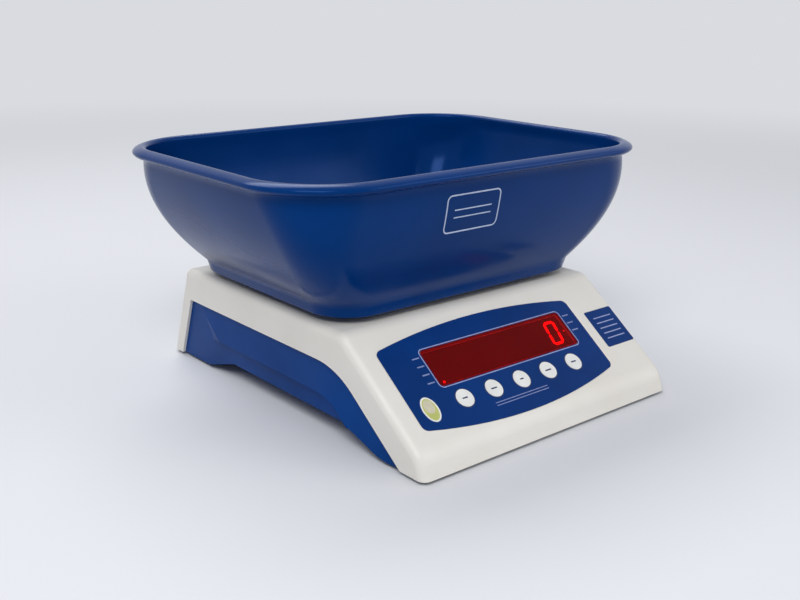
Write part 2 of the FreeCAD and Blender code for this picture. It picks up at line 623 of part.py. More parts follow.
FLARE_START = "(Size.flare_end + Size.cut_margin)"
SPINE_END = "(-3 * Size.cut_margin)"
bent_path(spine, (FLARE_START, "Size.flange_z"), ("Size.flange_y", "Size.flange_z"),
          ("Size.flange_y - (Size.flange_z - %s) / tan(Size.slope_angle)" % SPINE_END, SPINE_END),
          "Size.flange_round")
CREASE_Z = "Size.flange_z - Size.flare_depth"
CREASE_X = "(Size.wall_x + Size.flare_reach)"
flare_section = outline(flare, "flare_section", "XZ_Plane", [
    ("Size.wall_x", "Size.flange_z - Size.flare_sink"),
    (CREASE_X, CREASE_Z),
    ("Size.wall_x - Size.flare_sink", CREASE_Z + " - Size.flare_reach / 2"),
    ("Size.flare_sink - Size.wall_x", CREASE_Z + " - Size.flare_reach / 2"),
    ("-" + CREASE_X, CREASE_Z),
    ("-Size.wall_x", "Size.flange_z - Size.flare_sink"),
], "-" + FLARE_START)
flare_sweep = flare.newObject("PartDesign::AdditivePipe", "flare_sweep")
flare_sweep.Profile = flare_section
flare_sweep.Spine = (spine, [])
doc.recompute()

limit = new_body("flare_limit")
limit_line = outline(limit, "limit_line", "YZ_Plane", [
    ("Size.heel_front - Size.flare_heel_gap", "Size.arch_height"),
    ("Size.flare_end - Size.flare_tail_run", CREASE_Z + " + Size.flare_tail_rise",
     "Size.flare_tail_round"),
    ("Size.flare_end", "Size.flange_z + Size.tongue"),
    ("-Size.half_depth", "Size.flange_z + Size.tongue"),
    ("-Size.half_depth", "Size.foot_gap"),
] + underside("0")[:2])
extrude(limit, "Pad", "limit_block", limit_line, "2 * (%s + Size.flare_sink)" % CREASE_X,
        "Symmetric")
for side, word in ((-1, "left"), (1, "right")):
    fade = outline(limit, "fade_line_" + word, "XY_Plane", [
        ("%d * %s" % (side, CREASE_X), "Size.flare_end - Size.flare_fade"),
        ("%d * Size.wall_x" % side, "Size.flare_end"),
        ("%d * Size.wall_x" % side, FLARE_START),
        ("%d * (Size.wall_x + Size.cut_margin)" % side, FLARE_START),
        ("%d * (Size.wall_x + Size.cut_margin)" % side, "Size.flare_end - Size.flare_fade"),
    ])
    extrude(limit, "Pocket", "fade_" + word, fade, "Size.deck_height", reverse=True)
flare_panels = boolean("Common", "flare_panels", flare, limit)
tray_block = boolean("Fuse", "tray_with_flare", tray, flare_panels)

FOOT_SPOTS = [("%d * Size.foot_x" % across, along)
              for along in ("Size.foot_front_y", "Size.foot_rear_y") for across in (-1, 1)]
BOSS_TOP = "Size.foot_tall + Size.part_gap + Size.boss_wall"
tray_core = new_body("tray_core")
tray_core_line = outline(tray_core, "tray_core_line", "YZ_Plane", [
    (REAR_FACE + " - Size.shell_wall", "Size.foot_gap + Size.shell_wall"),
    (REAR_FACE + " - Size.shell_wall - (" + MOUTH_Z + " - Size.foot_gap) * tan(Size.rear_lean)",
     "Size.deck_height"),
    ("Size.bend_y", "Size.deck_height"),
    (TOE_Y + " + Size.shell_wall", "Size.nose_z + Size.toe_step"),
    (TOE_Y + " + Size.shell_wall", "Size.foot_gap + Size.shell_wall"),
] + underside("Size.shell_wall"))
extrude(tray_core, "Pad", "tray_core_block", tray_core_line,
        "2 * (Size.wall_x - Size.shell_wall)", "Symmetric")
boss_line = circles(tray_core, "boss_line", "XY_Plane", FOOT_SPOTS,
                    "Size.foot_round + Size.recess_gap + Size.boss_wall")
extrude(tray_core, "Pocket", "boss_gap", boss_line, BOSS_TOP, reverse=True)
tray_shell = boolean("Cut", "tray_shell", tray_block, tray_core)

foot_cut = new_body("foot_recesses")
foot_cut.AllowCompound = True
recess_line = circles(foot_cut, "recess_line", "XY_Plane", FOOT_SPOTS,
                      "Size.foot_round + Size.recess_gap")
extrude(foot_cut, "Pad", "recesses", recess_line, "Size.foot_tall + Size.part_gap")
keep(boolean("Cut", "lower_moulding", tray_shell, foot_cut), "lower_housing")


# Keypad film on the slope, with the display window, the digit module and five keys.
def bowed_outline(body, name, half, top, bottom, top_bow, bottom_bow, corner, middle):
    """Outline with straight sides and bowed upper and lower edges, corners rounded later."""
    sketch = body.newObject("Sketcher::SketchObject", name)
    attach(sketch, body, "XY_Plane")
    left, right = "%s - (%s)" % (middle, half), "%s + (%s)" % (middle, half)
    spots = [(left, bottom), (right, bottom), (right, top), (left, top)]
    points = [FreeCAD.Vector(value(item[0]), value(item[1]), 0) for item in spots]
    low = FreeCAD.Vector(value(middle), value(bottom) - value(bottom_bow), 0)
    high = FreeCAD.Vector(value(middle), value(top) + value(top_bow), 0)
    sketch.addGeometry(Part.Arc(points[0], low, points[1]), False)
    sketch.addGeometry(Part.LineSegment(points[1], points[2]), False)
    sketch.addGeometry(Part.Arc(points[2], high, points[3]), False)
    sketch.addGeometry(Part.LineSegment(points[3], points[0]), False)
    for index in range(4):
        sketch.addConstraint(Sketcher.Constraint("Coincident", index, 2, (index + 1) % 4, 1))
        fix_point(sketch, index, 1, (points[index].x, points[index].y), spots[index])
    for index, bow in ((0, bottom_bow), (2, top_bow)):
        radius = "((%s)^2 + (%s)^2) / (2 * (%s))" % (half, bow, bow)
        size = sketch.addConstraint(Sketcher.Constraint("Radius", index, value(radius)))
        sketch.setExpression("Constraints[%d]" % size, radius)
    return sketch


def is_upright(edge):
    """Straight edges that stand square to a plate."""
    box = edge.BoundBox
    return box.XLength < 0.01 and box.YLength < 0.01


KEY_SPOTS = [("Size.key_first_x + %d * Size.key_pitch" % index, "-Size.key_down")
             for index in range(5)]
film = new_body("film")
film_line = bowed_outline(film, "film_line", "Size.overlay_width / 2", "-Size.overlay_top",
                          "-Size.overlay_bottom", "Size.overlay_top_bow",
                          "Size.overlay_bottom_bow", "Size.overlay_corner", "Size.overlay_x")
film_plate = extrude(film, "Pad", "film_plate", film_line, "Size.overlay_thick")
round_edges(film, "film_corners", film_plate, is_upright, "Size.overlay_corner")
film_window = rectangle(film, "film_window_line", "XY_Plane", window_mid, window_half,
                        "Size.window_corner", "Size.overlay_thick")
extrude(film, "Pocket", "film_window", film_window, "Size.overlay_thick * 2")
seat_on_slope(film)
film_level = oval_prism("film_level_hole", "Size.level_half_wide + Size.close_gap",
                        "Size.level_half_tall + Size.close_gap", "-Size.shell_wall",
                        "Size.shell_wall * 2")
keep(boolean("Cut", "film_with_level_hole", film, film_level), "keypad_film")

window = new_body("window")
window_line = rectangle(window, "window_line", "XY_Plane", window_mid,
                        ("Size.window_width / 2", "Size.window_tall / 2"), "Size.window_corner",
                        "Size.overlay_thick")
extrude(window, "Pad", "window_plate", window_line, "Size.window_thick", reverse=True)
seat_on_slope(window)
keep(window, "display_window")

module = new_body("module")
MODULE_FACE = "-Size.shell_wall"
module_line = rectangle(module, "module_line", "XY_Plane", window_mid,
                        ("Size.window_width / 2", "Size.window_tall / 2"), lift=MODULE_FACE)
extrude(module, "Pad", "module_block", module_line, "Size.module_thick", reverse=True)
seat_on_slope(module)
keep(module, "display_module")


def digit_bar(body, name, across, up, long, stands):
    """One bar of a digit, a bevelled hexagon leaning with the digit."""
    half, stroke = "(%s - Size.digit_gap) / 2" % long, "Size.digit_stroke / 2"
    if stands:
        shape = [("0", "-" + half), (stroke, stroke + " - " + half), (stroke, half + " - " + stroke),
                 ("0", half), ("-" + stroke, half + " - " + stroke),
                 ("-" + stroke, stroke + " - " + half)]
    else:
        shape = [("-" + half, "0"), (stroke + " - " + half, "-" + stroke),
                 (half + " - " + stroke, "-" + stroke), (half, "0"),
                 (half + " - " + stroke, stroke), (stroke + " - " + half, stroke)]
    corners = []
    for item in shape:
        height = "(%s + %s)" % (up, item[1])
        corners.append(("Size.digit_x + %s + %s + %s * tan(Size.digit_lean)"
                        % (across, item[0], height), "%s - Size.window_down" % height))
    sketch = outline(body, name + "_line", "XY_Plane", corners, MODULE_FACE)
    return extrude(body, "Pad", name, sketch, "Size.digit_proud")


digit_bars = []
BAR_UP = "(Size.digit_tall - Size.digit_stroke) / 2"
BAR_SIDE = "(Size.digit_wide - Size.digit_stroke) / 2"
for name, across, up, long, stands in (
        ("upper_left", "-" + BAR_SIDE, BAR_UP + " / 2", BAR_UP, True),
        ("upper_right", BAR_SIDE, BAR_UP + " / 2", BAR_UP, True),
        ("lower_left", "-" + BAR_SIDE, "-" + BAR_UP + " / 2", BAR_UP, True),
        ("lower_right", BAR_SIDE, "-" + BAR_UP + " / 2", BAR_UP, True),
        ("above", "0", BAR_UP, "2 * " + BAR_SIDE, False),
        ("below", "0", "-" + BAR_UP, "2 * " + BAR_SIDE, False)):
    bar = new_body("bar_" + name)
    digit_bar(bar, "bar_" + name, across, up, long, stands)
    seat_on_slope(bar)
    digit_bars.append(bar)
digit = doc.addObject("Part::Compound", "digit")
digit.Links = digit_bars
keep(digit, "lit_digit")

for index, spot in enumerate(KEY_SPOTS, start=1):
    key = new_body("key_body_%d" % index)
    key_line = circles(key, "key_line_%d" % index, "XY_Plane", [spot], "Size.key_round",
                       "Size.overlay_thick")
    extrude(key, "Pad", "key_disc_%d" % index, key_line, "Size.key_rise")
    seat_on_slope(key)
    keep(key, "key_%d" % index)

# Spirit level: a cup through the panel with a clear lens that stands a little proud.
cup_outer = oval_prism("cup_outer", "Size.level_half_wide", "Size.level_half_tall",
                       "-Size.level_deep", "Size.level_deep + Size.overlay_thick")
cup_inner = oval_prism("cup_inner", "Size.level_half_wide - Size.level_wall",
                       "Size.level_half_tall - Size.level_wall",
                       "Size.level_wall - Size.level_deep", "Size.level_deep * 2")
keep(boolean("Cut", "cup", cup_outer, cup_inner), "level_cup")
vial = oval_prism("vial", "Size.level_half_wide - Size.level_wall",
                  "Size.level_half_tall - Size.level_wall", "Size.level_wall - Size.level_deep",
                  "Size.level_deep - Size.level_wall + Size.overlay_thick")
keep(vial, "level_vial")

label = new_body("label")
label_line = rectangle(label, "label_line", "XY_Plane", ("Size.label_x", "-Size.label_down"),
                       ("Size.label_width / 2", "Size.label_tall / 2"), "Size.label_corner")
extrude(label, "Pad", "label_plate", label_line, "Size.label_thick")
seat_on_slope(label)
keep(label, "side_label")

# Weighing gear: base plate, spacers, load cell and the spider whose posts carry the bowl.
PLATE_Z = "Size.floor_z"
CELL_Z = "(Size.floor_z + Size.plate_thick + Size.spacer_thick)"
SPIDER_Z = "(" + CELL_Z + " + Size.cell_tall + Size.spacer_thick)"


def plate(name, half, corner, bottom, tall, middle=("0", "Size.pan_y")):
    """Flat rectangular piece about the bowl's centre."""
    body = new_body(name + "_body")
    sketch = rectangle(body, name + "_line", "XY_Plane", middle, half, corner, bottom)
    extrude(body, "Pad", name + "_block", sketch, tall)
    return body


keep(plate("base_plate", ("Size.plate_width / 2", "Size.plate_deep / 2"), "Size.plate_corner",
           PLATE_Z, "Size.plate_thick"), "base_plate")
SPACER_X = "(Size.cell_long - Size.spacer_long) / 2"
keep(plate("lower_spacer", ("Size.spacer_long / 2", "Size.cell_wide / 2"), None,
           PLATE_Z + " + Size.plate_thick", "Size.spacer_thick", ("-" + SPACER_X, "Size.pan_y")),
     "lower_spacer")
keep(plate("upper_spacer", ("Size.spacer_long / 2", "Size.cell_wide / 2"), None,
           CELL_Z + " + Size.cell_tall", "Size.spacer_thick", (SPACER_X, "Size.pan_y")),
     "upper_spacer")
cell = plate("load_cell", ("Size.cell_long / 2", "Size.cell_wide / 2"), None, CELL_Z,
             "Size.cell_tall")
cell_holes = circles(cell, "cell_hole_line", "XZ_Plane", [
    ("Size.cell_hole_apart / 2", CELL_Z + " + Size.cell_tall / 2"),
    ("-Size.cell_hole_apart / 2", CELL_Z + " + Size.cell_tall / 2"),
], "Size.cell_hole", "Size.cell_wide / 2 - Size.pan_y")
extrude(cell, "Pocket", "cell_holes", cell_holes, "Size.cell_wide")
keep(cell, "load_cell")

spider = plate("spider", ("Size.post_x", "Size.rail_wide"), "Size.rail_corner", SPIDER_Z,
               "Size.rail_thick")
for side in (-1, 1):
    name = "rail_left" if side < 0 else "rail_right"
    rail = rectangle(spider, name + "_line", "XY_Plane", ("%d * Size.post_x" % side, "Size.pan_y"),
                     ("Size.rail_wide / 2", "Size.post_y + Size.rail_wide / 2"),
                     "Size.rail_corner", SPIDER_Z)
    extrude(spider, "Pad", name, rail, "Size.rail_thick")
post_line = circles(spider, "post_line", "XY_Plane", POST_SPOTS, "Size.post_round", SPIDER_Z)
extrude(spider, "Pad", "posts", post_line, "Size.pad_top - Size.pad_thick - " + SPIDER_Z)
keep(spider, "spider")
for index, spot in enumerate(POST_SPOTS, start=1):
    pad = new_body("pad_body_%d" % index)
    pad_line = circles(pad, "pad_line_%d" % index, "XY_Plane", [spot], "Size.pad_round",
                       "Size.pad_top - Size.pad_thick")
    extrude(pad, "Pad", "pad_disc_%d" % index, pad_line, "Size.pad_thick")
    keep(pad, "support_pad_%d" % index)

# Levelling feet in their recesses and the battery cover.
for index, spot in enumerate(FOOT_SPOTS, start=1):
    foot = new_body("foot_body_%d" % index)
    foot_line = circles(foot, "foot_line_%d" % index, "XY_Plane", [spot], "Size.foot_round")
    extrude(foot, "Pad", "foot_disc_%d" % index, foot_line, "Size.foot_tall")
    keep(foot, "levelling_foot_%d" % index)

door = plate("battery_cover", ("Size.door_width / 2", "Size.door_deep / 2"),
             "Size.plate_corner", "Size.arch_height - Size.door_thick", "Size.door_thick",
             ("0", "Size.door_y"))
keep(door, "battery_cover")

# Rear wall: a rocker switch in its bezel and a round power socket.
bezel = doc.addObject("Part::Box", "bezel_plate")
bezel.setExpression("Length", "Size.switch_width")
bezel.setExpression("Width", "Size.switch_tall")
bezel.setExpression("Height", "Size.bezel_thick")
centre_on_rear(bezel, "Size.switch_x", "Size.switch_height", "0", "Size.switch_width / 2",
               "Size.switch_tall / 2")
bezel_gap = doc.addObject("Part::Box", "bezel_gap")
bezel_gap.setExpression("Length", "Size.switch_width - 2 * Size.bezel_frame")
bezel_gap.setExpression("Width", "Size.switch_tall - 2 * Size.bezel_frame")
bezel_gap.setExpression("Height", "Size.shell_wall * 3")
centre_on_rear(bezel_gap, "Size.switch_x", "Size.switch_height", "Size.shell_wall",
               "Size.switch_width / 2 - Size.bezel_frame",
               "Size.switch_tall / 2 - Size.bezel_frame")
keep(boolean("Cut", "bezel_frame", bezel, bezel_gap), "switch_bezel")
rocker = new_body("rocker")
ROCKER_HALF = "Size.switch_tall / 2 - Size.bezel_frame - Size.part_gap / 2"
rocker_line = outline(rocker, "rocker_line", "YZ_Plane", [
    ("-(" + ROCKER_HALF + ")", "-Size.shell_wall"),
    (ROCKER_HALF, "-Size.shell_wall"),
    (ROCKER_HALF, "Size.rocker_low"),
    ("0", "Size.rocker_mid"),
    ("-(" + ROCKER_HALF + ")", "Size.rocker_high"),
])
extrude(rocker, "Pad", "rocker_block", rocker_line,
        "Size.switch_width - 2 * Size.bezel_frame - Size.part_gap", "Symmetric")
centre_on_rear(rocker, "Size.switch_x", "Size.switch_height", "0")
keep(rocker, "power_switch")
barrel = doc.addObject("Part::Cylinder", "barrel")
barrel.setExpression("Radius", "Size.jack_round")
barrel.setExpression("Height", "Size.jack_deep + Size.jack_rim")
centre_on_rear(barrel, "Size.jack_x", "Size.switch_height", "Size.jack_deep")
barrel_bore = doc.addObject("Part::Cylinder", "barrel_bore")
barrel_bore.setExpression("Radius", "Size.jack_bore")
barrel_bore.setExpression("Height", "Size.jack_deep + Size.jack_rim")
centre_on_rear(barrel_bore, "Size.jack_x", "Size.switch_height",
               "Size.jack_deep - Size.jack_floor")
keep(boolean("Cut", "jack", barrel, barrel_bore), "power_socket")


# Bowl: a foot band, evenly leaning long sides, short sides that curve upright, and a flared rim.
SIDE_BANDS = 6


def bowl_section(body, name, half_x, half_y, corner, height, inset):
    """Rounded rectangle round the bowl's axis, drawn in by an inset."""
    half = ("%s - (%s)" % (half_x, inset), "%s - (%s)" % (half_y, inset))
    return rectangle(body, name, "XY_Plane", ("0", "Size.pan_y"), half,
                     "%s - (%s)" % (corner, inset), "Size.bowl_z + " + height)


def foot_section(body, name, inset, height):
    """Section of the foot band."""
    return bowl_section(body, name, "Size.bowl_foot_x", "Size.bowl_foot_y",
                        "Size.bowl_foot_corner", height, inset)


def side_section(body, name, step, inset):
    """Section of the wall at one of its steps from the foot band to the rim."""
    rise = "(%d / %d)" % (step, SIDE_BANDS)
    spread = "(Size.bowl_lean * %s + (1 - Size.bowl_lean) * (1 - (1 - %s)^Size.bowl_curve))" % (
        rise, rise)
    low_x = "(Size.bowl_foot_x + Size.bowl_foot_draft)"
    low_y = "(Size.bowl_foot_y + Size.bowl_foot_draft)"
    half_x = "%s + (Size.bowl_wall_x - %s) * %s" % (low_x, low_x, spread)
    half_y = "%s + (Size.bowl_wall_y - %s) * %s" % (low_y, low_y, rise)
    corner = ("Size.bowl_foot_corner + (Size.bowl_wall_corner - Size.bowl_foot_corner)"
              " * %s^Size.corner_late" % rise)
    return bowl_section(body, name, half_x, half_y, corner,
                        "Size.bowl_foot_tall + Size.bowl_side_tall * " + rise, inset)


def rim_section(body, name, reach, drop):
    """Section of the rim, standing out of the wall by a reach, below the top by a drop."""
    return bowl_section(body, name, "Size.bowl_wall_x", "Size.bowl_wall_y",
                        "Size.bowl_wall_corner", "Size.bowl_tall - (%s)" % drop, "-(%s)" % reach)


def ruled_loft(body, name, sections):
    """Loft with straight runs from each section to the next."""
    feature = body.newObject("PartDesign::AdditiveLoft", name)
    feature.Profile = sections[0]
    feature.Sections = sections[1:]
    feature.Ruled = True
    doc.recompute()
    return feature


bowl = new_body("bowl_outside")
outer_sections = [
    foot_section(bowl, "foot_underside", "Size.bowl_foot_bevel", "0"),
    foot_section(bowl, "foot_edge", "0", "Size.bowl_foot_bevel"),
]
outer_sections += [side_section(bowl, "side_%d" % step, step, "0")
                   for step in range(SIDE_BANDS + 1)]
RIM_OUTSIDE = [("Size.rim_crest + (Size.rim_proud - Size.rim_crest) * cos(%d)" % angle,
                "Size.rim_half * (1 - sin(%d))" % angle)
               for angle in range(-60, 91, 30)]
outer_sections += [rim_section(bowl, "rim_%d" % index, reach, drop)
                   for index, (reach, drop) in enumerate(RIM_OUTSIDE, start=1)]
ruled_loft(bowl, "outside", outer_sections)

inside = new_body("bowl_inside")
inner_sections = [foot_section(inside, "bowl_floor", "Size.bowl_wall", "Size.bowl_wall")]
inner_sections += [side_section(inside, "inner_side_%d" % step, step, "Size.bowl_wall")
                   for step in range(SIDE_BANDS + 1)]
RIM_INSIDE = [("Size.rim_crest - (Size.rim_crest + Size.bowl_wall) * cos(%d)" % angle,
               "Size.rim_inner * (1 - sin(%d))" % angle)
              for angle in (0, 45, 90)]
RIM_INSIDE.append(("Size.rim_crest", "-Size.cut_margin"))
inner_sections += [rim_section(inside, "inner_rim_%d" % index, reach, drop)
                   for index, (reach, drop) in enumerate(RIM_INSIDE, start=1)]
ruled_loft(inside, "inside", inner_sections)
keep(boolean("Cut", "bowl_shell", bowl, inside), "bowl")

# Every object must be sound before anything is written.
doc.recompute()
for thing in doc.Objects:
    if "Invalid" in thing.State or "Error" in thing.State:
        raise RuntimeError("%s failed: %s" % (thing.Name, thing.getStatusString()))
for thing in SUBPARTS:
    if thing.Shape.isNull() or not thing.Shape.isValid():
        raise RuntimeError("%s has no valid shape" % thing.Label)
os.makedirs("parts", exist_ok=True)
for thing in SUBPARTS:
    thing.Shape.exportStep("parts/%s.step" % thing.Label)
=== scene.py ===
import json
import math
import bpy
from mathutils import Matrix, Vector


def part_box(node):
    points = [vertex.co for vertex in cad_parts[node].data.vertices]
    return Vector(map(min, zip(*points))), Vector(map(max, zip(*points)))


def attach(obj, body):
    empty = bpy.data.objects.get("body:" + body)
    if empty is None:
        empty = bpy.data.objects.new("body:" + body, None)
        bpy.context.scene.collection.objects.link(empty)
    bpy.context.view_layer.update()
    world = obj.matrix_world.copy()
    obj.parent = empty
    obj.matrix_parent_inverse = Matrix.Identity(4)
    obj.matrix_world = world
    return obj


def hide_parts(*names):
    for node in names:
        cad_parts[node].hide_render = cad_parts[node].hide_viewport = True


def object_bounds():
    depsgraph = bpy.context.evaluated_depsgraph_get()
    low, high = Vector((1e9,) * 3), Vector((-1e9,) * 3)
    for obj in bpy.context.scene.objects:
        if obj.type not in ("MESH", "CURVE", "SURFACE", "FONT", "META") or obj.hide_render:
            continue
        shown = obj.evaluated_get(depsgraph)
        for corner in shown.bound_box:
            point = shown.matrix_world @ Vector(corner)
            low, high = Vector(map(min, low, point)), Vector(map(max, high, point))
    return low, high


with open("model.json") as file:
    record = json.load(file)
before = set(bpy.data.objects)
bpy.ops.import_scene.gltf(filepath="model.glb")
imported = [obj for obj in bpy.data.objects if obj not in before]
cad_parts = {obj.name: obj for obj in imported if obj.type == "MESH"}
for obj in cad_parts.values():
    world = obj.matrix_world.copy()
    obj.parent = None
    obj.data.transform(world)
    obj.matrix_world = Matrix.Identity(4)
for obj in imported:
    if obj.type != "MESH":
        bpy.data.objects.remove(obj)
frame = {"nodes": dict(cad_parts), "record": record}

# %% [markdown]
# A table-top weighing scale with a lift-off bowl, dressed for a studio picture.
# The solids of the scale are already loaded as the frame, one object for each piece, in metres.
# This file gives every piece its real finish and adds the small things that no solid holds:
# printed marks, painted shade rings round the keys, the lamps behind the window, the level's
# bubble, ribs and screws. It makes the bowl anew with a softer curve, and sets up light and
# camera. No piece of the frame is moved.

# %% Measure the loaded scale
low_start, high_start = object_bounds()
MM = 0.001
nodes = frame["nodes"]
whole_size = [round(side / MM, 1) for side in high_start - low_start]
print("pieces:", len(nodes), "size in mm:", whole_size)

# %% [markdown]
# Colours are easiest to compare with a picture as the hex codes that a paint program shows.
# Blender's shaders work with linear light, so one function turns a code into linear numbers.


# %% Turn a hex code into a linear colour
def hex_color(code):
    """Linear RGBA of an sRGB hex code."""
    channels = [int(code[index:index + 2], 16) / 255 for index in (1, 3, 5)]
    linear = [part / 12.92 if part <= 0.04045 else ((part + 0.055) / 1.055) ** 2.4
              for part in channels]
    return (*linear, 1.0)


print("mid grey in linear light:", round(hex_color("#808080")[0], 3))

# %% [markdown]
# Every material below is a small graph of nodes. One helper adds a node: settings such as a
# Math node's operation go in as keywords, and each input takes a value or another node's output.


# %% Add a node with its settings and links
def add_node(tree, kind, inputs=None, **settings):
    made = tree.nodes.new(kind)
    for name, setting in settings.items():
        setattr(made, name, setting)
    for socket, source in (inputs or {}).items():
        if isinstance(source, bpy.types.NodeSocket):
            tree.links.new(source, made.inputs[socket])
        else:
            made.inputs[socket].default_value = source
    return made


def per_mm(size):
    """Texture scale at which one cell of a pattern measures this many millimetres."""
    return 1 / (size * MM)


# %% [markdown]
# Every finish starts the same way: a Principled shader and the piece's own coordinates, so that
# a grain keeps its size and rides along when the piece moves. The real grains are a few tenths
# of a millimetre wide or finer, which this picture can't show, so all of them, and the tool
# lines on the metal, are drawn coarser. Each call says how coarse, in millimetres.


# %% Start a material
def start_material(name, code, roughness, ior=1.5, metallic=0.0):
    """New material with its tree, its shader and the piece's own coordinates."""
    material = bpy.data.materials.new(name)
    material.use_nodes = True
    tree = material.node_tree
    tree.nodes.clear()
    shader = add_node(tree, "ShaderNodeBsdfPrincipled", {
        "Base Color": hex_color(code), "Roughness": roughness, "IOR": ior, "Metallic": metallic})
    add_node(tree, "ShaderNodeOutputMaterial", {"Surface": shader.outputs["BSDF"]})
    place = add_node(tree, "ShaderNodeTexCoord").outputs["Object"]
    material.diffuse_color = hex_color(code)
    return material, tree, shader, place


def mottle(tree, place, size_mm, low, high, detail=3.0):
    """Soft cloudy value between two numbers, with patches of a given size."""
    cloud = add_node(tree, "ShaderNodeTexNoise", {
        "Vector": place, "Scale": per_mm(size_mm), "Detail": detail})
    return add_node(tree, "ShaderNodeMapRange", {
        "Value": cloud.outputs["Fac"], "From Min": 0.3, "From Max": 0.7,
        "To Min": low, "To Max": high}).outputs["Result"]


def grain(tree, shader, place, size_mm, height_mm, strength=1.0, before=None):
    """Fine bumps of a given width and height in the surface."""
    cloud = add_node(tree, "ShaderNodeTexNoise", {
        "Vector": place, "Scale": per_mm(size_mm), "Detail": 2.0, "Roughness": 0.6})
    inputs = {"Height": cloud.outputs["Fac"], "Distance": height_mm * MM, "Strength": strength}
    if before:
        inputs["Normal"] = before
    bump = add_node(tree, "ShaderNodeBump", inputs)
    tree.links.new(bump.outputs["Normal"], shader.inputs["Normal"])
    return bump.outputs["Normal"]


def tint(tree, shader, fac, first, second):
    """Base colour that drifts between two codes."""
    blend = add_node(tree, "ShaderNodeMix", {
        "Factor": fac, 6: hex_color(first), 7: hex_color(second)}, data_type="RGBA")
    tree.links.new(blend.outputs[2], shader.inputs["Base Color"])


# %% [markdown]
# The upper housing is injection-moulded ABS in a warm white. A mould for such covers is
# spark-eroded, which leaves a fine satin grain that breaks up reflections. The real grain is
# about 0.3 mm wide, too fine for this picture, so it is drawn at 1.4 mm. Two much wider mottles
# stand for the slight unevenness of tone and gloss that large mouldings have.

# %% Warm white moulded ABS
housing_white, tree, shader, place = start_material("moulded_warm_white_abs", "#e3e0d8", 0.42, 1.53)
tint(tree, shader, mottle(tree, place, 70, 0.0, 1.0), "#e5e2db", "#dfdbd2")
tree.links.new(mottle(tree, place, 35, 0.38, 0.48), shader.inputs["Roughness"])
grain(tree, shader, place, 1.4, 0.03, 0.3)
print("made", housing_white.name)

# %% [markdown]
# The lower housing is the same plastic in deep blue, from a polished mould, so it is glossier.
# A dark glossy plastic takes most of its look from what it mirrors. Its own colour is nearly
# free of red, and the sheen is low and tinted blue, so that the pale room doesn't veil it.


# %% Deep blue moulded ABS
SHEEN = "#6f9cf0"


def blue_sheen(shader, level):
    """Low mirroring of a given level, tinted blue."""
    shader.inputs["Specular IOR Level"].default_value = level
    shader.inputs["Specular Tint"].default_value = hex_color(SHEEN)


housing_blue, tree, shader, place = start_material("polished_deep_blue_abs", "#04397c", 0.3, 1.53)
tint(tree, shader, mottle(tree, place, 60, 0.0, 1.0), "#053c82", "#033574")
tree.links.new(mottle(tree, place, 28, 0.28, 0.38), shader.inputs["Roughness"])
blue_sheen(shader, 0.16)
grain(tree, shader, place, 1.6, 0.02, 0.25)
print("made", housing_blue.name)

# %% [markdown]
# The bowl is moulded polypropylene in royal blue. It is softer than ABS and a little waxy:
# glossy, with a wide soft highlight where the wall curves. Its gloss varies slowly over the
# wall, because polypropylene cools unevenly, and that is a mottle in the roughness rather than
# a bump: a bump that wide would draw dents.

# %% Royal blue polypropylene for the bowl
bowl_blue, tree, shader, place = start_material("glossy_royal_blue_polypropylene", "#00306c",
                                                0.2, 1.49)
tint(tree, shader, mottle(tree, place, 90, 0.0, 1.0), "#003270", "#002d66")
tree.links.new(mottle(tree, place, 40, 0.16, 0.24), shader.inputs["Roughness"])
blue_sheen(shader, 0.26)
grain(tree, shader, place, 1.8, 0.012, 0.25)
print("made", bowl_blue.name)

# %% [markdown]
# The keypad is a polyester film printed from behind and glued on the slope. Its face has the
# fine emboss of such films, which reads as a soft satin sheen over an even blue.

# %% Printed polyester film
film_blue, tree, shader, place = start_material("printed_polyester_film_blue", "#012f6e", 0.4, 1.57)
tint(tree, shader, mottle(tree, place, 45, 0.0, 1.0), "#013172", "#012b66")
blue_sheen(shader, 0.2)
grain(tree, shader, place, 1.1, 0.02, 0.35)
print("made", film_blue.name)

# %% [markdown]
# The display window is acrylic tinted dark red. It passes only red light, which hides the
# module behind it and lets the lit bars through. Light crosses the tint twice, once at each
# face, so a fairly bright red in the shader gives the dark red that is seen. Such windows have
# a finish that all but stops mirroring. A low index of refraction and a low specular level
# give that here.

# %% Red tinted acrylic
window_red, tree, shader, place = start_material("red_tinted_acrylic", "#b81216", 0.04, 1.12)
tint(tree, shader, mottle(tree, place, 50, 0.0, 1.0), "#bb1418", "#b01014")
shader.inputs["Transmission Weight"].default_value = 0.8
shader.inputs["Specular IOR Level"].default_value = 0.05
grain(tree, shader, place, 3.0, 0.004, 0.2)
print("made", window_red.name)

# %% [markdown]
# Behind it sits the digit module: matt black moulding, and bars of red diffuser that glow. The
# black is drawn with some red in it, which lifts the window round the bars to a dark red. The
# glow is plain emission, kept low enough that the bars stay red and don't bleach.

# %% Digit module and lit bars
module_dark, tree, shader, place = start_material("matt_black_digit_module", "#2a0a0c", 0.6, 1.55)
grain(tree, shader, place, 0.9, 0.03, 0.4)
LIT = {}
for name, code, roughness, glow_code, strength in (
        ("lit_red_diffuser", "#ff2a1e", 0.5, "#ff3020", 5.0),
        ("lit_indicator_lens", "#ff3a2a", 0.4, "#ff3a28", 3.0)):
    LIT[name], tree, shader, place = start_material(name, code, roughness)
    shader.inputs["Emission Color"].default_value = hex_color(glow_code)
    shader.inputs["Emission Strength"].default_value = strength
    grain(tree, shader, place, 0.8, 0.02, 0.3)
digit_lit, lamp_lit = LIT["lit_red_diffuser"], LIT["lit_indicator_lens"]
print("made", module_dark.name, digit_lit.name, lamp_lit.name)
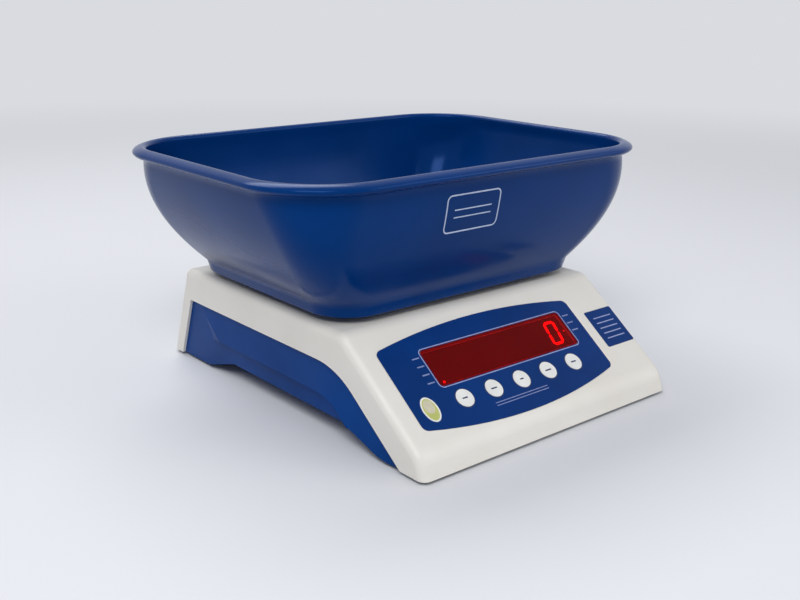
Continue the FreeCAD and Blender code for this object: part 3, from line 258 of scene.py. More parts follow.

# %% [markdown]
# Keys are domes pressed into a white part of the film, so they share its satin face. The
# printed marks are white or blue ink, dead flat and slightly matt. The dark blue is also used
# as painted shade, in a ring round each key where its dome meets the film.

# %% Key white and printing inks
key_white, tree, shader, place = start_material("embossed_white_key_film", "#e9e9e6", 0.42, 1.57)
tint(tree, shader, mottle(tree, place, 12, 0.0, 1.0), "#ebebe8", "#e2e2de")
grain(tree, shader, place, 0.9, 0.03, 0.4)
INKS = {}
for name, code, roughness, patch, light, dark in (
        ("white_screen_ink", "#d9dcea", 0.55, 4, "#dcdfec", "#cfd3e4"),
        ("thin_white_ink_over_blue", "#9aa3cc", 0.5, 5, "#a2abd2", "#8e98c4"),
        ("worn_white_ink_over_blue", "#7f8cb8", 0.5, 4, "#8793be", "#6f7dac"),
        ("fresh_white_ink_over_blue", "#b9c6df", 0.5, 5, "#c0cce3", "#abb9d6"),
        # The dark blue is ink for the key marks and painted shade for the rings round the keys.
        ("blue_screen_ink", "#14264f", 0.55, None, None, None)):
    INKS[name], tree, shader, place = start_material(name, code, roughness)
    if patch:
        tint(tree, shader, mottle(tree, place, patch, 0.0, 1.0), light, dark)
    grain(tree, shader, place, 0.6, 0.01, 0.5)
ink_white, ink_lavender, ink_dim, ink_badge, blue_ink_and_shade = INKS.values()
print("made", key_white.name, "and", len(INKS), "inks")

# %% [markdown]
# The spirit level is a cup of pale plastic with a clear acrylic lens over yellow-green fluid.
# The fluid is what gives the colour. Its large bubble stands uphill and shows as a cream oval,
# so that only the lower end of the lens looks green.

# %% Spirit level lens and bubble
vial_clear, tree, shader, place = start_material("acrylic_over_pale_green_fluid", "#b9c06a",
                                                 0.1, 1.49)
shader.inputs["Coat Weight"].default_value = 0.4
shader.inputs["Coat Roughness"].default_value = 0.03
tint(tree, shader, mottle(tree, place, 9, 0.0, 1.0), "#c3c96e", "#b2b962")
bubble_pale, tree, shader, place = start_material("air_bubble_under_acrylic", "#cfc8b0",
                                                  0.12, 1.49)
tint(tree, shader, mottle(tree, place, 3, 0.0, 1.0), "#d3ccb6", "#c6c0a2")
print("made", vial_clear.name, bubble_pale.name)

# %% [markdown]
# The weighing gear under the deck is metal. Its base plate is zinc-plated sheet, which looks
# faintly cloudy. The load cell and its spacers are milled aluminium with straight tool lines,
# and the spider is die-cast, with the dull grainy skin that castings have.

# %% Plated steel, milled aluminium and die-cast aluminium
zinc_steel, tree, shader, place = start_material("zinc_plated_sheet_steel", "#a9adb1", 0.38,
                                                 1.45, 1.0)
tint(tree, shader, mottle(tree, place, 6, 0.0, 1.0), "#b2b6ba", "#999ea3")
tree.links.new(mottle(tree, place, 9, 0.3, 0.48), shader.inputs["Roughness"])
bare_aluminium, tree, shader, place = start_material("milled_aluminium", "#c4c7c9", 0.3, 1.45, 1.0)
lines = add_node(tree, "ShaderNodeTexWave", {
    "Vector": place, "Scale": per_mm(6), "Distortion": 1.5, "Detail": 2.0}, bands_direction="X")
bump = add_node(tree, "ShaderNodeBump", {
    "Height": lines.outputs["Fac"], "Distance": 0.02 * MM, "Strength": 0.4})
tree.links.new(bump.outputs["Normal"], shader.inputs["Normal"])
tree.links.new(mottle(tree, place, 14, 0.26, 0.38), shader.inputs["Roughness"])
cast_aluminium, tree, shader, place = start_material("die_cast_aluminium", "#9fa2a5", 0.55,
                                                     1.45, 1.0)
tint(tree, shader, mottle(tree, place, 10, 0.0, 1.0), "#a8abae", "#919498")
grain(tree, shader, place, 1.2, 0.12, 0.6)
print("made", zinc_steel.name, bare_aluminium.name, cast_aluminium.name)

# %% [markdown]
# The switch, its bezel and the power socket are black nylon. The feet and the pads under the
# bowl are rubber, which is matt and slightly dusty.

# %% Black nylon and rubber
black_plastic, tree, shader, place = start_material("black_moulded_nylon", "#1b1b1d", 0.42, 1.53)
tint(tree, shader, mottle(tree, place, 6, 0.0, 1.0), "#1d1d1f", "#171719")
grain(tree, shader, place, 0.8, 0.03, 0.5)
black_rubber, tree, shader, place = start_material("soft_black_rubber", "#242322", 0.8, 1.5)
tint(tree, shader, mottle(tree, place, 4, 0.0, 1.0), "#282726", "#1e1d1c")
grain(tree, shader, place, 0.9, 0.06, 0.6)
print("made", black_plastic.name, black_rubber.name)

# %% [markdown]
# The frame's record names a slot for each piece, such as housing_white or black_rubber. One
# table gives each slot its finish, and each loaded piece then wears its slot's material.

# %% Dress the loaded pieces
FINISHES = {
    "housing_white": housing_white, "housing_blue": housing_blue, "film_blue": film_blue,
    "window_red": window_red, "module_dark": module_dark, "digit_lit": digit_lit,
    "key_white": key_white, "vial_clear": vial_clear, "zinc_steel": zinc_steel,
    "bare_aluminium": bare_aluminium, "cast_aluminium": cast_aluminium,
    "black_plastic": black_plastic, "black_rubber": black_rubber, "bowl_blue": bowl_blue,
}
slots = {row["node"]: row["material_slot"] for row in frame["record"]["subparts"]}
for name, piece in nodes.items():
    piece.data.materials.clear()
    piece.data.materials.append(FINISHES[slots[name]])
print("dressed", len(nodes), "pieces in", len(set(slots.values())), "finishes")

# %% [markdown]
# The printed marks lie on the sloping panel, so their places are worked out on it. The biggest
# upward face of the display window gives the slope's direction, and the film's faces along that
# direction give the height at which ink lies.


# %% Find the slope from the window and the film
def outward(piece, least_up):
    """Direction of the piece's largest face among those that look up enough."""
    faces = [face for face in piece.data.polygons if face.normal.z > least_up]
    return max(faces, key=lambda face: face.area).normal.copy()


SLOPE_OUT = outward(nodes["display_window"], 0.5)
ACROSS = Vector((1, 0, 0))
FLAT = 0.9999
UPHILL = SLOPE_OUT.cross(ACROSS).normalized()


def reach(name, direction):
    """Lowest and highest distance of a piece along a direction."""
    spans = [vertex.co.dot(direction) for vertex in nodes[name].data.vertices]
    return min(spans), max(spans)


def middle(name, direction):
    return sum(reach(name, direction)) / 2


def face_height(name, direction):
    """Height of a piece's outermost flat face along a direction."""
    return max(face.center.dot(direction) for face in nodes[name].data.polygons
               if face.normal.dot(direction) > FLAT)


FILM_TOP = face_height("keypad_film", SLOPE_OUT)
print("slope in degrees:", round(math.degrees(SLOPE_OUT.angle(Vector((0, 0, 1)))), 1))


def facing(out, spot):
    """Placement at a spot with the sheet's face along a direction and its width along +X or -X."""
    side = Vector((0, 0, 1)).cross(out) if abs(out.z) < 0.99 else ACROSS * (1 if out.z > 0 else -1)
    side.normalize()
    turn = Matrix((side, out.cross(side), out)).transposed().to_4x4()
    return Matrix.Translation(spot) @ turn


def on_slope(across, uphill, height):
    """Placement on the slope, by distances from the origin across, uphill and outward."""
    return facing(SLOPE_OUT, ACROSS * across + UPHILL * uphill + SLOPE_OUT * height)


# %% [markdown]
# Most marks on a keypad are rows of equal bars. A Geometry Nodes tree makes one bar and repeats
# it along a line: a row is then three or four numbers and can be changed at any time. Making
# each bar by hand would work too, but the spacing would have to be kept by hand as well.


# %% Start a Geometry Nodes tree with named inputs
def start_tree(name, inputs):
    """New tree with a Geometry output, the inputs given as name and kind, and their sockets."""
    tree = bpy.data.node_groups.new(name, "GeometryNodeTree")
    tree.interface.new_socket("Geometry", in_out="OUTPUT", socket_type="NodeSocketGeometry")
    for title, kind in inputs.items():
        tree.interface.new_socket(title, in_out="INPUT", socket_type="NodeSocket" + kind)
    return tree, add_node(tree, "NodeGroupInput").outputs


# %% Geometry Nodes tree for a row of bars
def bar_row_tree():
    tree, given = start_tree("bar_row", {
        "Count": "Int", "Step": "Vector", "Bar Size": "Vector", "Material": "Material"})
    bar = add_node(tree, "GeometryNodeMeshCube", {"Size": given["Bar Size"]})
    row = add_node(tree, "GeometryNodeMeshLine", {
        "Count": given["Count"], "Offset": given["Step"]}, mode="OFFSET")
    copies = add_node(tree, "GeometryNodeInstanceOnPoints", {
        "Points": row.outputs["Mesh"], "Instance": bar.outputs["Mesh"]})
    solid = add_node(tree, "GeometryNodeRealizeInstances", {
        "Geometry": copies.outputs["Instances"]})
    painted = add_node(tree, "GeometryNodeSetMaterial", {
        "Geometry": solid.outputs["Geometry"], "Material": given["Material"]})
    add_node(tree, "NodeGroupOutput", {"Geometry": painted.outputs["Geometry"]})
    return tree


BAR_ROW = bar_row_tree()
print("tree", BAR_ROW.name, "has", len(BAR_ROW.nodes), "nodes")

# %% [markdown]
# A tree's inputs are set by each socket's identifier. The evaluated result is turned into a
# plain mesh, put in place inside its own data, and left without a modifier, so that it
# exports and rides like any other piece.


# %% Turn a tree into a placed piece
def grow(name, tree, settings, place, body):
    """Plain mesh from a tree with the given inputs, placed and riding on a body."""
    holder = bpy.data.objects.new(name + "_holder", bpy.data.meshes.new(name + "_holder"))
    bpy.context.scene.collection.objects.link(holder)
    modifier = holder.modifiers.new("grow", "NODES")
    modifier.node_group = tree
    for item in tree.interface.items_tree:
        if item.in_out == "INPUT" and item.name in settings:
            modifier[item.identifier] = settings[item.name]
    holder.update_tag()
    ready = holder.evaluated_get(bpy.context.evaluated_depsgraph_get())
    mesh = bpy.data.meshes.new_from_object(ready)
    bpy.data.objects.remove(holder)
    mesh.name = name
    mesh.transform(place)
    piece = bpy.data.objects.new(name, mesh)
    bpy.context.scene.collection.objects.link(piece)
    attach(piece, body)
    print(name, len(mesh.polygons), "faces")
    return piece


# %% [markdown]
# Left and right of the window short printed dashes point at the small indicator lamps behind
# it. They are ink, drawn 0.06 mm thick, and lie on the film.

# %% Indicator dashes beside the window
INK_THICK = 0.06 * MM
INK_LIFT = FILM_TOP + INK_THICK / 2
window_x = middle("display_window", ACROSS)
window_up = middle("display_window", UPHILL)
window_left, window_right = reach("display_window", ACROSS)
window_low, window_high = reach("display_window", UPHILL)
DASH = (7.5 * MM, 1.2 * MM, INK_THICK)
DASH_PITCH = 8.2 * MM
DASH_GAP = 3.6 * MM
for name, count, across, first in (
        ("dashes_left", 4, window_left - DASH_GAP - DASH[0] / 2, -1.5),
        ("dashes_right", 3, window_right + DASH_GAP + DASH[0] / 2, -0.5)):
    grow(name, BAR_ROW, {"Count": count, "Step": (0, DASH_PITCH, 0), "Bar Size": DASH,
                         "Material": ink_dim},
         on_slope(across, window_up + first * DASH_PITCH, INK_LIFT), "housing")

# %% [markdown]
# A thin pale line frames the window. A line that follows a rounded rectangle is a curve job:
# the tree makes the rectangle, rounds its corners and sweeps a small flat profile along it.
# With corners as round as half its height, the same tree draws a circle. Cuts along the sides
# let a line follow a curved wall later on.


# %% Geometry Nodes tree for a printed line
def frame_line_tree():
    tree, given = start_tree("frame_line", {
        "Width": "Float", "Height": "Float", "Corner": "Float", "Line": "Float",
        "Thickness": "Float", "Corner Steps": "Int", "Side Cuts": "Int", "Material": "Material"})
    box = add_node(tree, "GeometryNodeCurvePrimitiveQuadrilateral", {
        "Width": given["Width"], "Height": given["Height"]})
    rounded = add_node(tree, "GeometryNodeFilletCurve", {
        "Curve": box.outputs["Curve"], "Radius": given["Corner"],
        "Count": given["Corner Steps"]}, mode="POLY")
    finer = add_node(tree, "GeometryNodeSubdivideCurve", {
        "Curve": rounded.outputs["Curve"], "Cuts": given["Side Cuts"]})
    profile = add_node(tree, "GeometryNodeCurvePrimitiveQuadrilateral", {
        "Width": given["Line"], "Height": given["Thickness"]})
    swept = add_node(tree, "GeometryNodeCurveToMesh", {
        "Curve": finer.outputs["Curve"], "Profile Curve": profile.outputs["Curve"]})
    painted = add_node(tree, "GeometryNodeSetMaterial", {
        "Geometry": swept.outputs["Mesh"], "Material": given["Material"]})
    add_node(tree, "NodeGroupOutput", {"Geometry": painted.outputs["Geometry"]})
    return tree


FRAME_LINE = frame_line_tree()
FRAME_GAP = 1.3 * MM
FRAME_CORNER = 4.5 * MM
grow("window_frame_line", FRAME_LINE, {
    "Width": window_right - window_left + 2 * FRAME_GAP,
    "Height": window_high - window_low + 2 * FRAME_GAP,
    "Corner": FRAME_CORNER, "Line": 0.9 * MM, "Thickness": INK_THICK, "Corner Steps": 8,
    "Side Cuts": 0, "Material": ink_lavender}, on_slope(window_x, window_up, INK_LIFT), "housing")

# %% [markdown]
# Under the window the film carries a double rule, and each key a short bar, of another length
# on each. A dark ring round each key is painted shade: it stands for the shade where the key's
# dome meets the film.

# %% Rules, painted shade rings round the keys, and key marks
RULE_BELOW = 31.2 * MM
RULE_X, RULE_UP = -20 * MM, window_low - RULE_BELOW
grow("film_rules", BAR_ROW, {"Count": 2, "Step": (0, 2.6 * MM, 0),
                             "Bar Size": (62 * MM, 0.7 * MM, INK_THICK), "Material": ink_dim},
     on_slope(RULE_X, RULE_UP, INK_LIFT), "housing")
KEY_NODES = ["key_%d" % number for number in range(1, 6)]
key_top = face_height(KEY_NODES[0], SLOPE_OUT) + INK_THICK / 2
low, high = reach(KEY_NODES[0], ACROSS)
SHADE_RING_ROOM = 1.4 * MM
SHADE_RING_WIDE = high - low + SHADE_RING_ROOM
KEY_BARS = (5.6, 6.4, 4.0, 7.0, 6.0)
for key, bar_long in zip(KEY_NODES, KEY_BARS):
    spot = (middle(key, ACROSS), middle(key, UPHILL))
    # The ring is painted shade in the dark blue, round the key's edge where the dome meets the
    # film.
    grow("shade_ring_of_" + key, FRAME_LINE, {
        "Width": SHADE_RING_WIDE, "Height": SHADE_RING_WIDE, "Corner": SHADE_RING_WIDE / 2 - 0.01 * MM,
        "Line": 0.6 * MM, "Thickness": INK_THICK, "Corner Steps": 10, "Side Cuts": 0,
        "Material": blue_ink_and_shade}, on_slope(*spot, INK_LIFT), "housing")
    grow("mark_on_" + key, BAR_ROW, {
        "Count": 1, "Step": (0, 0, 0), "Bar Size": (bar_long * MM, 1.3 * MM, INK_THICK),
        "Material": blue_ink_and_shade}, on_slope(*spot, key_top), "housing")

# %% [markdown]
# The small panel at the right end of the slope is a second film. It shows plain ruled lines.

# %% Lines on the side label
label_top = face_height("side_label", SLOPE_OUT) + INK_THICK / 2
low, high = reach("side_label", UPHILL)
LABEL_STEPS = 7
LINE_STEP = (high - low) / LABEL_STEPS
grow("label_lines", BAR_ROW, {
    "Count": 5, "Step": (0, LINE_STEP, 0), "Bar Size": (24 * MM, 1.0 * MM, INK_THICK),
    "Material": ink_lavender},
     on_slope(middle("side_label", ACROSS), low + 1.5 * LINE_STEP, label_top), "housing")

# %% [markdown]
# Two small indicator lamps shine through the window: short round lenses on the module's face.
# The tree makes one thin cylinder and repeats it, as the bar row does with its bar.


# %% Geometry Nodes tree for a row of discs
def disc_row_tree():
    tree, given = start_tree("disc_row", {
        "Count": "Int", "Step": "Vector", "Radius": "Float", "Thickness": "Float",
        "Material": "Material"})
    disc = add_node(tree, "GeometryNodeMeshCylinder", {
        "Vertices": 24, "Radius": given["Radius"], "Depth": given["Thickness"]})
    row = add_node(tree, "GeometryNodeMeshLine", {
        "Count": given["Count"], "Offset": given["Step"]}, mode="OFFSET")
    copies = add_node(tree, "GeometryNodeInstanceOnPoints", {
        "Points": row.outputs["Mesh"], "Instance": disc.outputs["Mesh"]})
    solid = add_node(tree, "GeometryNodeRealizeInstances", {
        "Geometry": copies.outputs["Instances"]})
    painted = add_node(tree, "GeometryNodeSetMaterial", {
        "Geometry": solid.outputs["Geometry"], "Material": given["Material"]})
    add_node(tree, "NodeGroupOutput", {"Geometry": painted.outputs["Geometry"]})
    return tree


DISC_ROW = disc_row_tree()
digit_low, digit_high = reach("lit_digit", SLOPE_OUT)
LENS_SHARE = 0.8
LENS_THICK = (digit_high - digit_low) * LENS_SHARE
LENS_MIDDLE = digit_high - LENS_THICK / 2
for name, across, uphill, radius in (
        ("indicator_lens_left", window_left + 7.5 * MM, window_low + 4.5 * MM, 1.3 * MM),
        ("indicator_lens_right", window_right - 3.5 * MM, window_up - 1 * MM, 0.8 * MM)):
    grow(name, DISC_ROW, {"Count": 1, "Step": (0, 0, 0), "Radius": radius,
                          "Thickness": LENS_THICK, "Material": lamp_lit},
         on_slope(across, uphill, LENS_MIDDLE), "housing")

# %% [markdown]
# The real level's bubble touches the lens from below. Here it is a thin disc on the lens, from
# the lamps' tree, drawn out to an oval like the lens and set towards its upper end.

# %% Bubble of the level
level_spot = (middle("level_vial", ACROSS), middle("level_vial", UPHILL))
lens_top = face_height("level_vial", SLOPE_OUT)
low, high = reach("level_vial", ACROSS)
BUBBLE_SHARE, BUBBLE_UPHILL = 0.38, 2.6 * MM
BUBBLE_RADIUS = (high - low) * BUBBLE_SHARE
OVAL = Matrix.Diagonal((1, 1.3, 1, 1))
grow("level_bubble", DISC_ROW, {"Count": 1, "Step": (0, 0, 0), "Radius": BUBBLE_RADIUS,
                                "Thickness": INK_THICK, "Material": bubble_pale},
     on_slope(level_spot[0], level_spot[1] + BUBBLE_UPHILL, lens_top + INK_THICK / 2) @ OVAL,
     "housing")

# %% [markdown]
# The two ends of the rocker switch carry a bar for on and a ring for off, in white ink.

# %% Marks on the rocker
switch_x = middle("power_switch", ACROSS)
rocker_faces = [face for face in nodes["power_switch"].data.polygons if face.normal.y > 0.5]
upper_out = max(rocker_faces, key=lambda face: face.normal.z).normal.copy()
lower_out = min(rocker_faces, key=lambda face: face.normal.z).normal.copy()
for name, out, tree, settings in (
        ("rocker_on_bar", upper_out, BAR_ROW,
         {"Count": 1, "Step": (0, 0, 0), "Bar Size": (0.7 * MM, 2.8 * MM, INK_THICK)}),
        ("rocker_off_ring", lower_out, FRAME_LINE,
         {"Width": 2.8 * MM, "Height": 2.8 * MM, "Corner": 1.39 * MM, "Line": 0.6 * MM,
          "Thickness": INK_THICK, "Corner Steps": 8, "Side Cuts": 0})):
    faces = [face for face in rocker_faces if face.normal.dot(out) > 0.999]
    centre = sum((face.center * face.area for face in faces), Vector()) / sum(
        face.area for face in faces)
    centre.x = switch_x
    grow(name, tree, dict(settings, Material=ink_white),
         facing(out, centre + out * INK_THICK / 2), "housing")

# %% [markdown]
# Underneath, five low ribs on the battery cover give the thumb a grip, and four screws hold the
# two halves of the housing together. A screw is a pan head with a cross cut into it: the tree
# cuts the cross once and sets the finished head on four points.

# %% Grip ribs on the battery cover
cover_low = reach("battery_cover", Vector((0, 0, 1)))[0]
RIB = (30 * MM, 1.4 * MM, 0.7 * MM)
RIB_STEP, RIB_START = 3.2 * MM, 24 * MM
cover_front = reach("battery_cover", Vector((0, 1, 0)))[0]
DOWN = Vector((0, 0, -1))
grow("cover_ribs", BAR_ROW, {"Count": 5, "Step": (0, RIB_STEP, 0), "Bar Size": RIB,
                             "Material": housing_blue},
     facing(DOWN, Vector((0, cover_front + RIB_START, cover_low - RIB[2] / 2))), "housing")


# %% Geometry Nodes tree for the screws
HEAD_TAPER = 0.78


def screw_tree():
    tree, given = start_tree("base_screws", {
        "Across": "Float", "Along": "Float", "Head Radius": "Float", "Head Height": "Float",
        "Cross": "Vector", "Material": "Material"})
    rim = add_node(tree, "ShaderNodeMath", {0: given["Head Radius"], 1: HEAD_TAPER},
                   operation="MULTIPLY")
    head = add_node(tree, "GeometryNodeMeshCone", {
        "Vertices": 32, "Radius Top": rim.outputs[0], "Radius Bottom": given["Head Radius"],
        "Depth": given["Head Height"]})
    slot = add_node(tree, "GeometryNodeMeshCube", {"Size": given["Cross"]})
    lifted = add_node(tree, "ShaderNodeCombineXYZ", {"Z": given["Head Height"]})
    placed = add_node(tree, "GeometryNodeTransform", {
        "Geometry": slot.outputs["Mesh"], "Translation": lifted.outputs["Vector"]})
    turned = add_node(tree, "GeometryNodeTransform", {
        "Geometry": placed.outputs["Geometry"], "Rotation": (0, 0, math.pi / 2)})
    both = add_node(tree, "GeometryNodeJoinGeometry")
    for part in (placed, turned):
        tree.links.new(part.outputs["Geometry"], both.inputs["Geometry"])
    cut = add_node(tree, "GeometryNodeMeshBoolean", {
        "Mesh 1": head.outputs["Mesh"], "Mesh 2": both.outputs["Geometry"],
        "Self Intersection": True}, operation="DIFFERENCE", solver="EXACT")
    corners = add_node(tree, "GeometryNodeMeshGrid", {
        "Size X": given["Across"], "Size Y": given["Along"], "Vertices X": 2, "Vertices Y": 2})
    copies = add_node(tree, "GeometryNodeInstanceOnPoints", {
        "Points": corners.outputs["Mesh"], "Instance": cut.outputs["Mesh"]})
    solid = add_node(tree, "GeometryNodeRealizeInstances", {
        "Geometry": copies.outputs["Instances"]})
    painted = add_node(tree, "GeometryNodeSetMaterial", {
        "Geometry": solid.outputs["Geometry"], "Material": given["Material"]})
    add_node(tree, "NodeGroupOutput", {"Geometry": painted.outputs["Geometry"]})
    return tree


SKIN_LOW = reach("lower_housing", Vector((0, 0, 1)))[0]
grow("base_screws", screw_tree(), {
    "Across": 120 * MM, "Along": 326 * MM, "Head Radius": 3.4 * MM, "Head Height": 1.9 * MM,
    "Cross": (3.6 * MM, 0.8 * MM, 2.2 * MM), "Material": zinc_steel},
     facing(DOWN, Vector((0, 0, SKIN_LOW))), "housing")

# %% [markdown]
# The bowl is one moulded shell: a flat foot, a short upright band, walls that curve out and
# steepen towards the top, a turned-over rim, and the same way back down inside. Its shape
# follows a rule, so a tree makes it. A tube of rings is bent into place: each ring is a rounded
# rectangle, and its height, size and corner radius depend only on how far the ring has come
# along the stages listed here. More rows make a stage rounder, and nothing else has to change.
# The frame holds a bowl too, in the same box, with straighter long walls. This one takes its
# place in the picture, with a softer curve, a slightly longer foot, and a lip that is drawn in
# finer steps and has a slimmer edge.

# %% Stages of the bowl's wall and their rows
STAGES = (("bevel", 4), ("band", 3), ("side", 20), ("neck", 1), ("lip", 14), ("crest", 7),
          ("throat", 2), ("inner side", 20), ("well", 3), ("fillet", 5))
BOWL_ROWS = sum(rows for stage, rows in STAGES)
BOWL_INPUTS = {
    "Foot X": 146.5, "Foot Y": 114.8, "Foot Corner": 39, "Wall X": 202.6, "Wall Y": 145.9,
    "Wall Corner": 66.6, "Underside": 100, "Middle Y": 31, "Bevel": 1.5, "Foot Tall": 10.5,
    "Draft": 2, "Side Tall": 97.9, "Wall": 3.2, "Rim Proud": 9.4, "Rim Crest": 1, "Rim Half": 5,
    "Rim Tall": 11, "Rim Inner": 3.5, "Fillet": 6,
}
SHARES = {"Lean": 0.33, "Curve": 2.3, "Corner Late": 3.0, "Lip Edge": 1.5}
print(BOWL_ROWS, "rows in", len(STAGES), "stages")

# %% [markdown]
# The rule is plain arithmetic on each point's number, and every entry of these tables is one
# Math node: a name, an operation and what it works on. An earlier name, a named input or a
# number may stand there. The rounds of the edges are sines and cosines of a stage's share, and
# the lip's sine is raised to a power, which slims its edge.

# %% The rule of the bowl, one Math node for each entry
QUARTER = math.pi / 2
RULE = (
    ("row raw", "DIVIDE", "index", "around"), ("row", "FLOOR", "row raw", 0),
    ("column", "MODULO", "index", "around"), ("quarter raw", "DIVIDE", "column", "Corner Points"),
    ("quarter", "FLOOR", "quarter raw", 0), ("step", "MODULO", "column", "Corner Points"),
    ("steps", "SUBTRACT", "Corner Points", 1), ("step share", "DIVIDE", "step", "steps"),
    ("turn", "ADD", "quarter", "step share"), ("angle", "MULTIPLY", "turn", QUARTER),
    ("half turn", "ADD", "quarter", 0.5), ("diagonal", "MULTIPLY", "half turn", QUARTER),
    ("diagonal x", "COSINE", "diagonal", 0), ("sign x", "SIGN", "diagonal x", 0),
    ("diagonal y", "SINE", "diagonal", 0), ("sign y", "SIGN", "diagonal y", 0),
)
SHAPE = (
    ("rise", "SUBTRACT", "side", "inner side"), ("rest", "SUBTRACT", 1, "rise"),
    ("belly", "POWER", "rest", "Curve"), ("bulge", "SUBTRACT", 1, "belly"),
    ("round share", "SUBTRACT", 1, "Lean"), ("round part", "MULTIPLY", "bulge", "round share"),
    ("lean part", "MULTIPLY", "rise", "Lean"), ("spread", "ADD", "round part", "lean part"),
    ("late", "POWER", "rise", "Corner Late"), ("drafted", "SUBTRACT", "band", "well"),
    ("draft now", "MULTIPLY", "drafted", "Draft"),
    ("base x", "ADD", "Foot X", "Draft"), ("way x", "SUBTRACT", "Wall X", "base x"),
    ("out x", "MULTIPLY", "way x", "spread"), ("grown x", "ADD", "out x", "draft now"),
    ("wall x", "ADD", "grown x", "Foot X"),
    ("base y", "ADD", "Foot Y", "Draft"), ("way y", "SUBTRACT", "Wall Y", "base y"),
    ("out y", "MULTIPLY", "way y", "spread"), ("grown y", "ADD", "out y", "draft now"),
    ("wall y", "ADD", "grown y", "Foot Y"),
    ("way corner", "SUBTRACT", "Wall Corner", "Foot Corner"),
    ("more corner", "MULTIPLY", "way corner", "late"),
    ("corner", "ADD", "more corner", "Foot Corner"),
)
EDGES = (
    ("bevel turn", "MULTIPLY", "bevel", QUARTER), ("bevel sine", "SINE", "bevel turn", 0),
    ("bevel cosine", "COSINE", "bevel turn", 0), ("bevel short", "SUBTRACT", "bevel sine", 1),
    ("bevel reach", "MULTIPLY", "bevel short", "Bevel"),
    ("bevel rise", "SUBTRACT", 1, "bevel cosine"),
    ("bevel lift", "MULTIPLY", "bevel rise", "Bevel"),
    ("lip turn", "MULTIPLY", "lip", 2 * QUARTER), ("lip reach share", "SINE", "lip turn", 0),
    ("lip cosine", "COSINE", "lip turn", 0), ("lip rise", "SUBTRACT", 1, "lip cosine"),
    ("lip way", "SUBTRACT", "Rim Proud", "Rim Crest"),
    ("lip edged", "POWER", "lip reach share", "Lip Edge"),
    ("lip reach", "MULTIPLY", "lip way", "lip edged"),
    ("lip lift", "MULTIPLY", "lip rise", "Rim Half"),
    ("neck reach", "MULTIPLY", "neck", "Rim Crest"), ("rim whole", "MULTIPLY", "Rim Half", 2),
    ("neck way", "SUBTRACT", "Rim Tall", "rim whole"),
    ("neck lift", "MULTIPLY", "neck", "neck way"),
    ("crest turn", "MULTIPLY", "crest", QUARTER), ("crest sine", "SINE", "crest turn", 0),
    ("crest cosine", "COSINE", "crest turn", 0), ("crest way", "ADD", "Rim Crest", "Wall"),
    ("crest reach", "MULTIPLY", "crest way", "crest sine"),
    ("crest fall", "SUBTRACT", 1, "crest cosine"),
    ("crest drop", "MULTIPLY", "crest fall", "Rim Inner"),
    ("throat way", "SUBTRACT", "Rim Tall", "Rim Inner"),
    ("throat drop", "MULTIPLY", "throat", "throat way"),
    ("fillet turn", "MULTIPLY", "fillet", QUARTER), ("fillet sine", "SINE", "fillet turn", 0),
    ("fillet cosine", "COSINE", "fillet turn", 0), ("fillet short", "SUBTRACT", 1, "fillet cosine"),
    ("fillet reach", "MULTIPLY", "fillet short", "Fillet"),
    ("fillet drop", "MULTIPLY", "fillet sine", "Fillet"),
)
PLACES = (
    ("reach 1", "ADD", "bevel reach", "neck reach"), ("reach 2", "ADD", "reach 1", "lip reach"),
    ("reach 3", "SUBTRACT", "reach 2", "crest reach"),
    ("reach", "SUBTRACT", "reach 3", "fillet reach"),
    ("radius", "ADD", "corner", "reach"),
    ("straight x", "SUBTRACT", "wall x", "corner"), ("side x", "MULTIPLY", "straight x", "sign x"),
    ("cosine", "COSINE", "angle", 0), ("curve x", "MULTIPLY", "cosine", "radius"),
    ("x", "ADD", "side x", "curve x"),
    ("straight y", "SUBTRACT", "wall y", "corner"), ("side y", "MULTIPLY", "straight y", "sign y"),
    ("sine", "SINE", "angle", 0), ("curve y", "MULTIPLY", "sine", "radius"),
    ("around y", "ADD", "side y", "curve y"), ("y", "ADD", "around y", "Middle Y"),
    ("band way", "SUBTRACT", "Foot Tall", "Bevel"), ("band lift", "MULTIPLY", "band", "band way"),
    ("well start", "SUBTRACT", "Foot Tall", "Wall"),
    ("well way", "SUBTRACT", "well start", "Fillet"),
    ("well drop", "MULTIPLY", "well", "well way"), ("side lift", "MULTIPLY", "rise", "Side Tall"),
    ("z 1", "ADD", "Underside", "bevel lift"), ("z 2", "ADD", "z 1", "band lift"),
    ("z 3", "ADD", "z 2", "side lift"), ("z 4", "ADD", "z 3", "neck lift"),
    ("z 5", "ADD", "z 4", "lip lift"), ("z 6", "SUBTRACT", "z 5", "crest drop"),
    ("z 7", "SUBTRACT", "z 6", "throat drop"), ("z 8", "SUBTRACT", "z 7", "well drop"),
    ("z", "SUBTRACT", "z 8", "fillet drop"),
)
print(len(RULE) + len(SHAPE) + len(EDGES) + len(PLACES), "Math nodes in the rule")

# %% [markdown]
# Each stage's share comes from a Map Range node: 0 before its first row, 1 after its last. The
# tube keeps its two end caps, which become the underside and the floor, so the shell is closed.


